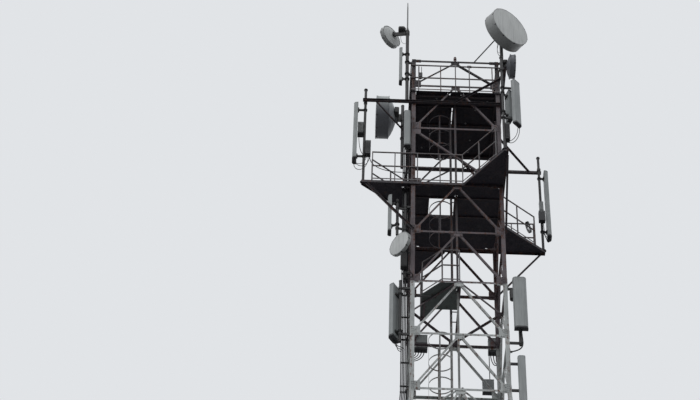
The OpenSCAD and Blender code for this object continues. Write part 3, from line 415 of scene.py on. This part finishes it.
black_shell = shell("black_shell", (0.028, 0.029, 0.033), (0.045, 0.045, 0.047))

for row in frame["record"]["subparts"]:
    for s in frame["nodes"][row["node"]].material_slots:
        s.material = FINISH[row["material_slot"]]


# ---- objects and meshes
def show(name, data):
    """Puts an object with this data in the scene."""
    obj = bpy.data.objects.new(name, data)
    scene.collection.objects.link(obj)
    return obj


def mesh_object(name, bm, material, smooth=False):
    """Makes an object from a bmesh whose points are in the row frame."""
    bmesh.ops.recalc_face_normals(bm, faces=bm.faces)
    mesh = bpy.data.meshes.new(name)
    bm.to_mesh(mesh)
    bm.free()
    if smooth:
        mesh.shade_smooth()
        mesh.set_sharp_from_angle(angle=math.radians(35))
    else:
        mesh.shade_flat()
    mesh.materials.append(material)
    return show(name, mesh)


def piece(name, bm, slot, material=None, smooth=False):
    """Makes a piece of the part; its material is the slot's own where none is given."""
    obj = mesh_object(name, bm, material or FINISH[slot], smooth)
    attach(obj, "root")


def ring(bm, matrix, radius, z, n):
    return [bm.verts.new(matrix @ Vector((radius * math.cos(2 * math.pi * k / n),
                                          radius * math.sin(2 * math.pi * k / n), z)))
            for k in range(n)]


def skin(bm, a, b):
    """Faces between two rings of points."""
    n = len(a)
    for k in range(n):
        bm.faces.new((a[k], a[(k + 1) % n], b[(k + 1) % n], b[k]))


def skin_all(bm, rings):
    """Faces along a row of rings, with its two ends closed."""
    for a, b in zip(rings, rings[1:]):
        skin(bm, a, b)
    bm.faces.new(rings[0][::-1])
    bm.faces.new(rings[-1])


def lathe(bm, matrix, profile, n):
    """A closed solid of revolution about the matrix's own Z: profile is a list of (radius, height)."""
    skin_all(bm, [ring(bm, matrix, r, z, n) for r, z in profile])


def hoop(bm, matrix, section, n):
    """A closed ring: the section's points (radius, height) go round the matrix's own Z."""
    rings = [ring(bm, matrix, r, z, n) for r, z in section]
    for a, b in zip(rings, rings[1:] + rings[:1]):
        skin(bm, a, b)


def round_section(radius, tube, n=8):
    """The section of a hoop of round bar."""
    return [(radius + tube * math.cos(2 * math.pi * k / n), tube * math.sin(2 * math.pi * k / n))
            for k in range(n)]


def prism(bm, matrix, outline, z0, z1, edge):
    """A solid with the outline as its section and with blunted edges above and below."""
    mid = Vector((sum(p[0] for p in outline), sum(p[1] for p in outline))) / len(outline)
    size = min((Vector(p) - mid).length for p in outline)
    rings = []
    for z, inset in ((z0, edge), (z0 + edge, 0), (z1 - edge, 0), (z1, edge)):
        shrink = 1 - inset / size
        rings.append([bm.verts.new(matrix @ (((Vector(p) - mid) * shrink + mid).to_3d() + Vector((0, 0, z))))
                      for p in outline])
    skin_all(bm, rings)


def block(bm, matrix, lo, hi, bevel=0.0):
    """A box between two corners, with its edges blunted."""
    made = bmesh.ops.create_cube(bm, size=1.0)["verts"]
    size = [h - l for l, h in zip(lo, hi)]
    mid = [(h + l) / 2 for l, h in zip(lo, hi)]
    bmesh.ops.transform(bm, verts=made, matrix=matrix @ Matrix.Translation(mid) @ Matrix.Diagonal((*size, 1)))
    if bevel:
        edges = list({e for v in made for e in v.link_edges})
        bmesh.ops.bevel(bm, geom=edges, offset=bevel, segments=1, affect="EDGES")


def rod(bm, a, b, radius, n=10):
    """A round bar between two places given from the tower's axis, with blunt ends."""
    a, b = Vector(a), Vector(b)
    run = b - a
    m = TOWER @ Matrix.Translation(a) @ run.to_track_quat("Z", "Y").to_matrix().to_4x4()
    lathe(bm, m, [(radius * 0.8, 0), (radius, radius * 0.3), (radius, run.length - radius * 0.3),
                  (radius * 0.8, run.length)], n)


# ---- cables that hang free between two fittings
def cable(name, a, b, diameter, drop, leave=DOWN, enter=DOWN, reach=0.0):
    """A cable on one cubic curve from a to b, places given from the tower's axis.

    leave and enter point out of a and b to the curve's two inner points. Without a reach those points
    are drop lower than the lower end; with one they are that far out, and then drop lower."""
    a, b = Vector((AXIS, AXIS, 0)) + Vector(a), Vector((AXIS, AXIS, 0)) + Vector(b)
    low = min(a.z, b.z) - drop
    pa = a + Vector(leave) * (reach or a.z - low)
    pb = b + Vector(enter) * (reach or b.z - low)
    if reach:
        pa.z -= drop
        pb.z -= drop
    n = 30
    points = []
    for k in range(n + 1):
        u = k / n
        v = 1 - u
        points.append(a * v ** 3 + pa * 3 * v * v * u + pb * 3 * v * u * u + b * u ** 3)
    lay_cable(name, points, diameter)


def lay_cable(name, points, diameter):
    """A cable through points in the row frame."""
    curve = bpy.data.curves.new(name, "CURVE")
    curve.dimensions = "3D"
    line = curve.splines.new("POLY")
    line.points.add(len(points) - 1)
    for p, q in zip(line.points, points):
        p.co = (*q, 1.0)
    curve.bevel_depth = diameter / 2
    curve.bevel_resolution = 2
    curve.use_fill_caps = True
    curve.materials.append(FINISH["cable_sheath"])
    obj = show(name, curve)
    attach(obj, "root")


# at the left tip: from the panel's foot and the upper box to the lower box, past the pipe on either side
for k, (y, y_end) in enumerate(((-0.100, -0.068), (0.100, 0.068), (-0.128, -0.068))):
    cable(f"jumper_left_tip_{k}", (-2.915, TIP[1] + y, MAIN_Z + 0.874),
          (-2.560 + 0.045 * k, TIP[1] + y_end, MAIN_Z + 1.124), 0.018, 0.30 + 0.07 * k)
cable("jumper_left_tip_3", (-2.800, TIP[1] - 0.06, MAIN_Z + 1.984),
      (-2.595, TIP[1] - 0.064, MAIN_Z + 1.124), 0.018, 0.10)
# and from there along the railing towards the leg
cable("feeder_left_tip", (-2.470, TIP[1] + 0.04, MAIN_Z + 1.124), (-1.538, -1.100, MAIN_Z + 0.62), 0.022,
      0.02, DOWN, (-0.9, 0, 0), 0.45)
# at the near tip
for k in range(2):
    cable(f"jumper_near_tip_{k}", (1.625 + 0.05 * k, -2.665 + 0.05 * k, MAIN_Z + 1.024),
          (1.305 + 0.045 * k, -2.600 + 0.04 * k, MAIN_Z + 0.454), 0.018, 0.10 + 0.05 * k)
    cable(f"jumper_near_tip_{k + 2}", (1.410, -2.470 - 0.06 * k, MAIN_Z + 1.394),
          (1.300, -2.520 - 0.030 * k, MAIN_Z + 1.128), 0.016, -0.06, DOWN, UP, 0.11)
# at the right tip
for k in range(3):
    cable(f"jumper_right_tip_{k}", (2.835, 1.165 + 0.07 * k, MAIN_Z + 0.514),
          (2.600 + 0.04 * k, 1.110 + 0.02 * k, MAIN_Z + 1.104), 0.018, 0.08 + 0.05 * k)
# at the big dish, the top left dish and the lower left dish
cable("tail_big_dish", (1.284, -1.506, L6 + 2.055), (1.375, -1.340, L6 + 1.42), 0.016, 0.04,
      DOWN, (-0.8, -0.3, 0), 0.22)
cable("tail_big_dish_2", (1.332, -1.470, L6 + 2.055), (1.348, -1.314, L6 + 1.62), 0.010, 0.03,
      DOWN, (-0.9, -0.2, 0), 0.18)
cable("tail_top_left_dish", (-1.640, -1.262, L6 + 2.325), (-1.487, -1.310, L6 + 1.90), 0.012, 0.03,
      DOWN, (-1, 0, 0), 0.14)
cable("tail_lower_left_dish", (-1.395, -1.235, L2 + 0.43), (-1.345, -1.124, L2 + 0.20), 0.012, 0.10)
# under the boxes at the far legs
for k in range(4):
    cable(f"loop_far_left_{k}", (-1.02 + 0.075 * k, HALF_TOP + 0.09, L2 - 0.106),
          (-1.235, HALF_TOP + 0.016, L2 - 0.30 - 0.05 * k), 0.026, 0.05 + 0.03 * k,
          DOWN, (0.7, 0.1, -0.4), 0.16)
for k in range(4):
    cable(f"loop_far_right_{k}", (1.03 + 0.075 * k, HALF_TOP + 0.09, L2 - 0.126),
          (1.225, HALF_TOP + 0.016, L2 - 0.49 + 0.05 * k), 0.026, 0.14 - 0.03 * k,
          DOWN, (-0.5 + 0.1 * k, 0.5, -0.4), 0.16)
cable("drop_far_right", (0.985, HALF_TOP + 0.05, L2 - 0.124), (0.985, HALF_TOP + 0.05, L1 + 0.748), 0.024,
      0.0, DOWN, UP, 0.3)
# under the big panels on the near legs
for k in range(3):
    cable(f"jumper_left_panel_{k}", (-1.708 + 0.045 * k, -1.099 + 0.06 * k, L1 - 0.136),
          (-1.425 - 0.038 * k, -1.066, L1 - 0.42 - 0.04 * k), 0.020, 0.04 + 0.04 * k,
          DOWN, (-0.1, 0.0, 1.0), 0.18)
cable("jumper_right_panel", (1.600, -1.395, L1 + 0.134), (1.316, -1.250, L1 - 0.52), 0.034, 0.06,
      DOWN, (1.0, -0.35, 0.1), 0.42)
for k in range(2):
    cable(f"jumper_low_panel_{k}", (1.540 + 0.06 * k, -1.375, L0 - 0.746),
          (1.372, -1.290, L0 - 1.05 - 0.06 * k), 0.020, 0.06, DOWN, (0.8, -0.3, 0.2), 0.2)
# a spare length of cable hangs in a coil over the top rail at the right tip
COIL_R, COIL_D, TURNS, PER_TURN = 0.170, 0.020, 3, 24
coil = []
for k in range(TURNS * PER_TURN + 1):
    a = math.radians(90 + 360 / PER_TURN * k)
    p = Vector((COIL_R * math.cos(a), COIL_D * 1.15 * (k / PER_TURN - TURNS / 2), COIL_R * math.sin(a)))
    coil.append(Vector((AXIS + 2.25, AXIS + RAIL_LINE, MAIN_Z + 1.226 - COIL_R)) + spin(60) @ p)
lay_cable("spare_coil", coil, COIL_D)


# ---- bolts
OUTWARD = spin(90, "X")      # turns a bolt's Z to -Y of a side's frame
INWARD = spin(-90, "X")
# places of a joint's bolts: in from the leg's corner and up the leg, in from a horizontal's end, up a brace
# from its foot, along the middle plate, and down the two braces that meet there
ON_LEG, LEG_FIRST, LEG_PITCH = (0.052, 0.092), -0.036, 0.062
ON_BAR = (0.028, 0.085)
ON_BRACE = (0.045, 0.105)
ON_PLATE = (-0.095, -0.035, 0.035, 0.095)
ON_APEX = ((0.072, -0.104), (0.094, -0.136))
# a brace runs from this height over its level to this place from the middle of the next
BRACE_FOOT, BRACE_HEAD = 0.1, (0.062, -0.092)


def bolt(bm, matrix, size=0.013):
    """A hexagon head on a washer: the matrix's Z points out of the face."""
    lathe(bm, matrix, [(size * 1.3, -0.0005), (size * 1.3, 0.003)], 8)
    lathe(bm, matrix, [(size, 0.0025), (size, 0.011), (size * 0.85, 0.013)], 6)


def through(bm, side, x, z, depth, behind):
    """A bolt through the layers of a face, with its nut on the inside."""
    bolt(bm, side @ Matrix.Translation((x, depth, z)) @ OUTWARD)
    bolt(bm, side @ Matrix.Translation((x, behind, z)) @ INWARD, 0.012)


def joint_bolts(bm, side, half, z, feet, apex, rise):
    """The bolts of one level of a side: gussets on the legs, the horizontal's ends and the middle plate.

    feet says that braces start at the level, and rise is the height to the next. apex says that two
    braces from below meet in its middle."""
    front, back = LEG_T - BAR_T, LEG_T + GUSSET_T
    end = half - LEG_W - SIDE_GAP
    for s in (-1, 1):
        for k in range(5 if feet else 2):
            for x in ON_LEG:
                through(bm, side, s * (half - x), z + LEG_FIRST + LEG_PITCH * k, 0, back)
        for x in ON_BAR:
            through(bm, side, s * (end - x), z, front, back)
        if feet:
            foot = Vector((end, z + BRACE_FOOT))
            run = (Vector((BRACE_HEAD[0], z + rise + BRACE_HEAD[1])) - foot).normalized()
            for d in ON_BRACE:
                p = foot + run * d
                through(bm, side, s * p.x, p.y, LEG_T, back + BAR_T)
    if apex:
        for x in ON_PLATE:
            through(bm, side, x, z, front, back)
        for s in (-1, 1):
            for x, dz in ON_APEX:
                through(bm, side, s * x, z + dz, LEG_T, back + BAR_T)


upper = bmesh.new()
for i in range(4):
    for k, z in enumerate(LEVELS):
        feet = k < len(LEVELS) - 1
        rise = LEVELS[k + 1] - z if feet else 0
        joint_bolts(upper, upper_side(i), HALF_TOP, z, feet, k not in (0, DIAGONAL_END), rise)
piece("bolts_upper", upper, "tower_paint")

lower = bmesh.new()
for i in range(4):
    for k in range(1, LOW_BAYS):
        z = tall_z(k)
        rise = (tall_z(k - 1) - z) / math.cos(LEAN)
        joint_bolts(lower, lower_side(i), HALF_TOP + (KNEE - z) * SLOPE, (z - KNEE) / math.cos(LEAN), True,
                    True, rise)
piece("bolts_lower", lower, "tower_paint")

# anchor bolts of the base plates: a washer, two nuts and the bolt's end
anchors = bmesh.new()
for cx, cy, sx, sy in product((0, 2 * AXIS), (0, 2 * AXIS), (-1, 1), (-1, 1)):
    m = Matrix.Translation((cx + sx * ANCHOR_PITCH / 2, cy + sy * ANCHOR_PITCH / 2, FOOT_T))
    lathe(anchors, m, [(0.033, -0.0005), (0.033, 0.004)], 24)
    for z in (0.004, 0.029):
        lathe(anchors, m, [(0.023, z), (0.026, z + 0.003), (0.026, z + 0.020), (0.023, z + 0.023)], 6)
    lathe(anchors, m, [(0.0145, 0.0), (0.0145, 0.083), (0.012, 0.087)], 16)
piece("anchor_bolts", anchors, "base_steel")


# ---- panels: end caps, connectors and the bands of their brackets
def panel_outline(w, d, grow):
    """The section of a panel, grown by this much on each side."""
    points = [(0, -w / 2), (d / 2, -w / 2), (d * 0.85, -w * 0.43), (d, -w * 0.3),
              (d, w * 0.3), (d * 0.85, w * 0.43), (d / 2, w / 2), (0, w / 2)]
    return [(d / 2 + (x - d / 2) * (1 + 2 * grow / d), y * (1 + 2 * grow / w)) for x, y in points]


def connector(bm, matrix, size=0.014):
    """A cable connector that points down from the matrix's place."""
    lathe(bm, matrix, [(size * 0.7, -0.018), (size, -0.016), (size, -0.006), (size * 1.35, -0.005),
                       (size * 1.35, 0.001)], 10)


def bands(bm, pipe, z):
    """Two clamp bands around a collar on a pipe."""
    for share in (0.25, 0.75):
        hoop(bm, at(pipe[0], pipe[1], z + COLLAR_H * share),
             round_section(pipe[4] + COLLAR_T + 0.004, 0.006), 20)


caps, tops, fittings, clamps = [bmesh.new() for _ in range(4)]
for pipe, off, bearing, z0, h, w, d, arms in PANELS:
    m = at(pipe[0] + off[0], pipe[1] + off[1], z0) @ spin(bearing)
    prism(caps, m, panel_outline(w, d, 0.0035), -0.012, 0.045, 0.004)
    prism(tops, m, panel_outline(w, d, 0.0030), h - 0.022, h + 0.010, 0.004)
    for y in (-0.3, -0.1, 0.1, 0.3):
        connector(fittings, m @ Matrix.Translation((d * 0.45, y * w, -0.012)))
    for z in arms:
        bands(clamps, pipe, z0 + z)
        for y in (-w * 0.17, w * 0.17):
            block(clamps, m, (-0.034, y - 0.016, z + 0.020), (-PLATE_T + 0.001, y + 0.016, z + 0.050), 0.002)
piece("panel_feet", caps, "antenna_shell", black_shell)
piece("panel_tops", tops, "antenna_shell")

# caps on the pipes, and the flanges and collars that hold them
for x, y, z0, z1, r in TIP_PIPES:
    lathe(clamps, at(x, y, z1), [(r + 0.012, -0.045), (r + 0.016, -0.040), (r + 0.016, -0.004),
                                 (r + 0.004, 0.006), (0.012, 0.010)], 20)
    lathe(clamps, at(x, y, z0), [(r + 0.045, 0.0), (r + 0.045, 0.008), (r + 0.008, 0.012),
                                 (r + 0.006, 0.030)], 20)
for x, y, z0, z1, r in LEG_PIPES[1:]:
    lathe(clamps, at(x, y, z1), [(r + 0.004, -0.020), (r + 0.004, 0.002), (r * 0.6, 0.008)], 20)
for pipe, collars in zip(LEG_PIPES, TOP_COLLARS):
    for z in collars:
        bands(clamps, pipe, L6 + z)

# ---- dishes: radomes, rims, shroud bands, latches and the units on their backs
radomes, shrouds, darks, backs = [bmesh.new() for _ in range(4)]
for number, dish in enumerate(DISHES):
    m = dish_frame(dish)
    r, shroud, dome, hub = dish[4:]
    rim = hub + dome
    front = rim + shroud
    cover, rims = (darks, darks) if number in DARK_DISHES else (radomes, shrouds)
    lathe(cover, m, [(r - 0.014, front), (r - 0.014, front + 0.0055), (r * 0.75, front + 0.0125),
                     (r / 2, front + 0.0178), (r * 0.25, front + 0.0202), (0.02, front + 0.0216)], 72)
    hoop(rims, m, [(r - 0.020, front + 0.002), (r - 0.012, front + 0.009), (r + 0.004, front + 0.008),
                   (r + 0.009, front - 0.002), (r + 0.008, front - 0.018), (r + 0.002, front - 0.022)], 72)
    hoop(rims, m, [(r - 0.003, rim - 0.012), (r + 0.010, rim - 0.010), (r + 0.010, rim + 0.012),
                   (r - 0.003, rim + 0.014)], 72)
    if number != FAR_LEFT_DISH:
        hoop(rims, m, [(r - 0.004, rim + 0.010), (r + 0.0025, rim + 0.010), (r + 0.0025, front - 0.018),
                       (r - 0.004, front - 0.018)], 72)
    for k in range(10):
        catch = m @ spin(36 * k + 12)
        block(backs, catch, (r - 0.002, -0.014, front - 0.045), (r + 0.014, 0.014, front + 0.010), 0.003)
        bolt(backs, catch @ Matrix.Translation((r + 0.010, 0, rim)) @ spin(90, "Y"), 0.008)
    for x, y in product((-0.09, 0.09), (-0.035, 0.035)):
        bolt(backs, m @ Matrix.Translation((x, y, 0)), 0.009)
for number, mid, half in DISH_RADIOS:
    m = dish_frame(DISHES[number])
    lo = [c - h for c, h in zip(mid, half)]
    hi = [c + h for c, h in zip(mid, half)]
    block(backs, m, lo, hi, 0.012)
    for k in range(7):
        y = lo[1] + 0.015 + (hi[1] - lo[1] - 0.03) * k / 6
        block(backs, m, (lo[0] + 0.01, y - 0.003, lo[2] - 0.022), (hi[0] - 0.01, y + 0.003, lo[2] + 0.002))
# the rounded unit on the arm of the top left dish, and the short rod on the big dish
drum = at(-1.600, -1.262, L6 + 2.615) @ spin(90, "Y")
lathe(backs, drum, [(0.080, -0.115), (0.112, -0.095), (0.115, 0.060), (0.095, 0.080), (0.060, 0.115)], 28)
for k in range(5):
    hoop(backs, drum, [(0.113, -0.080 + 0.03 * k), (0.124, -0.080 + 0.03 * k), (0.124, -0.074 + 0.03 * k),
                       (0.113, -0.074 + 0.03 * k)], 28)
rod(backs, (1.180, -1.490, L6 + 2.95), (1.180, -1.490, L6 + 3.09), 0.007)
# the unit on the pipe under the lower left dish
unit = at(-1.475, -1.305, L2 + 0.68)
block(backs, unit, (-0.085, -0.085, -0.26), (0.085, 0.076, 0.26), 0.012)
for k in range(8):
    x = -0.07 + 0.02 * k
    block(backs, unit, (x - 0.003, -0.105, -0.23), (x + 0.003, -0.083, 0.23))
piece("radomes", radomes, "dish_shell", smooth=True)
piece("dish_shrouds", shrouds, "dish_shell", shroud_shell, True)
piece("dark_radomes", darks, "dark_dish", smooth=True)
piece("dish_units", backs, "bracket_steel")


# ---- boxes: lids, fins, feet and connectors; some are black up to a height
def wrap(bm, lo, hi, z0, z1, grow=0.003):
    """A skin around a box between two heights."""
    block(bm, TOWER, (lo.x - grow, lo.y - grow, z0), (hi.x + grow, hi.y + grow, z1), 0.003)


fins, lids = bmesh.new(), bmesh.new()
for number, (corner, size) in enumerate(BOXES):
    lo = Vector(corner)
    hi = lo + Vector(size)
    y0, y1 = (lo.y - 0.024, lo.y) if number in FINS_IN_FRONT else (hi.y, hi.y + 0.024)
    count = max(5, round(size[0] / 0.028))
    for k in range(count):
        x = lo.x + size[0] * (k + 0.5) / count
        block(fins, TOWER, (x - 0.003, y0 - 0.001, lo.z + 0.04), (x + 0.003, y1 + 0.001, hi.z - 0.04))
    wrap(fins, lo, hi, lo.z - 0.012, lo.z + 0.05, 0.004)
    if number in BLACK_UP_TO:
        wrap(fins, lo, hi, lo.z + 0.04, lo.z + BLACK_UP_TO[number])
    wrap(lids, lo, hi, hi.z - 0.018, hi.z + 0.006)
    for k in range(4):
        connector(fittings, at(lo.x + size[0] * (k + 0.5) / 4, (lo.y + hi.y) / 2, lo.z - 0.012), 0.012)
# the hung lamp: its housing, the two rods up to the rail, and the ring with its cross bar under it
lo, size = HUNG_LAMP
mid = [c + s / 2 for c, s in zip(lo, size)]
block(fins, TOWER, [c - 0.006 for c in lo], [c + s + 0.006 for c, s in zip(lo, size)], 0.008)
for x in (lo[0] + 0.02, lo[0] + size[0] - 0.02):
    rod(fins, (x, mid[1], lo[2] + size[2] - 0.01), (x, mid[1], TOP_Z + 1.200), 0.009)
hoop(fins, at(mid[0], mid[1], lo[2] - 0.03), round_section(0.036, 0.008), 20)
rod(fins, (mid[0], mid[1], lo[2] - 0.04), (mid[0], mid[1], lo[2] + 0.01), 0.014)
rod(fins, (mid[0] - 0.036, mid[1], lo[2] - 0.03), (mid[0] + 0.036, mid[1], lo[2] - 0.03), 0.006)
piece("box_fins", fins, "radio_paint", black_shell)
piece("box_lids", lids, "radio_paint")
piece("connectors", fittings, "bracket_steel", smooth=True)

# ---- arms and holders beside the legs
# a round canister under the upper arm of the right panel's pipe
lathe(clamps, at(1.430, -1.235, L2 - 0.185), [(0.050, -0.36), (0.085, -0.34), (0.088, -0.06),
                                              (0.075, -0.03), (0.030, -0.02), (0.030, 0.006)], 24)
# the gland on the near right leg that the cable of the right panel goes into
block(clamps, at(1.290, -1.250, L1 - 0.52), (-0.002, -0.038, -0.06), (0.012, 0.045, 0.06), 0.003)
lathe(clamps, at(1.300, -1.250, L1 - 0.52) @ spin(90, "Y"), [(0.024, -0.002), (0.028, 0.002),
                                                             (0.028, 0.050), (0.022, 0.056)], 16)
# the arm of the left panel's pipe runs on behind the leg
rod(clamps, (-1.520, -1.165, L2 - 0.46), (-0.745, -1.165, L2 - 0.46), 0.020, 14)
# guide ring for the cables on the near left leg
hoop(clamps, at(-1.352, -1.352, L2 + 0.12), round_section(0.118, 0.014), 32)
block(clamps, at(-1.290, -1.290, L2 + 0.105), (-0.010, -0.014, 0.0), (0.06, 0.002, 0.03), 0.002)
# clamp on the near brace under the top ring
block(clamps, at(0.420, -HALF_TOP + 0.012, L7 - 0.20), (-0.06, -0.012, -0.05), (0.06, 0.010, 0.05), 0.004)
piece("clamp_bands", clamps, "bracket_steel", smooth=True)

# pale clips on the underside of the top deck
clips = bmesh.new()
for x, y in ((-0.55, -1.06), (0.62, -0.66), (0.82, -0.02), (0.36, -0.12), (-0.68, 0.34), (0.53, 0.55),
             (0.50, 1.02), (-0.12, -0.9), (-0.9, 0.9), (0.95, -1.0)):
    lathe(clips, at(x, y, TOP_Z) @ spin(180, "X"), [(0.030, -0.001), (0.030, 0.004), (0.014, 0.006),
                                                    (0.014, 0.016)], 12)
piece("deck_clips", clips, "ladder_steel", FINISH["base_steel"])

# ---- floor
ground = bmesh.new()
lathe(ground, TOWER, [(20.0, -0.05), (20.0, -0.001)], 128)
pale = Tree("floor_pale", roughness=0.9)
pale_grey = pale.mix(pale.step(pale.noise(0.5, 3), 0.3, 0.7), (0.60, 0.61, 0.62), (0.64, 0.65, 0.66))
mesh_object("floor", ground, pale.finish(pale_grey))

# ---- light: a pale sky that turns dark grey below the horizon, and a soft sun
world = bpy.data.worlds.new("studio")
scene.world = world
world.use_nodes = True
nodes, links = world.node_tree.nodes, world.node_tree.links
nodes.clear()
out = nodes.new("ShaderNodeOutputWorld")
back = nodes.new("ShaderNodeBackground")
links.new(back.outputs[0], out.inputs[0])
coord = nodes.new("ShaderNodeTexCoord")
split = nodes.new("ShaderNodeSeparateXYZ")
links.new(coord.outputs["Generated"], split.inputs[0])
horizon = nodes.new("ShaderNodeMapRange")
horizon.interpolation_type = "SMOOTHSTEP"
links.new(split.outputs[2], horizon.inputs[0])
for k, v in enumerate((-0.12, 0.10, 0.0, 1.0)):
    horizon.inputs[k + 1].default_value = v
tone = nodes.new("ShaderNodeMix")
tone.data_type = "RGBA"
links.new(horizon.outputs[0], tone.inputs[0])
tone.inputs[6].default_value = (0.10, 0.10, 0.10, 1)
tone.inputs[7].default_value = (0.755, 0.775, 0.800, 1)
links.new(tone.outputs[2], back.inputs["Color"])
back.inputs["Strength"].default_value = 1.0

sun = show("soft_sun", bpy.data.lights.new("soft_sun", "SUN"))
sun.data.energy = 0.7
sun.data.angle = math.radians(70)
sun.rotation_euler = (math.radians(28), math.radians(-22), 0)

# ---- the camera of the photograph: fitted to the levels, decks and legs
ELEV, YAW, ROLL = 0.81192905, -0.00711324, 0.04004296
EYE, EYE_LEFT = (-0.05598, -36.79043, -9.32339), 0.0135
FOCAL_PIXELS, PHOTO_WIDTH, SENSOR = 2000, 700, 36.0
forward = Vector((math.sin(YAW) * math.cos(ELEV), math.cos(YAW) * math.cos(ELEV), math.sin(ELEV)))
right = Vector((math.cos(YAW), -math.sin(YAW), 0))
up = right.cross(forward)
right, up = (math.cos(ROLL) * right + math.sin(ROLL) * up, -math.sin(ROLL) * right + math.cos(ROLL) * up)
eye = Vector(EYE) - right * EYE_LEFT
cam = show("camera", bpy.data.cameras.new("camera"))
cam.matrix_world = Matrix(((right.x, up.x, -forward.x, eye.x), (right.y, up.y, -forward.y, eye.y),
                           (right.z, up.z, -forward.z, eye.z), (0, 0, 0, 1)))
cam.data.sensor_width = SENSOR
cam.data.lens = FOCAL_PIXELS / PHOTO_WIDTH * SENSOR
cam.data.clip_start, cam.data.clip_end = 1.0, 400.0
scene.camera = cam
scene.view_settings.view_transform = "Standard"
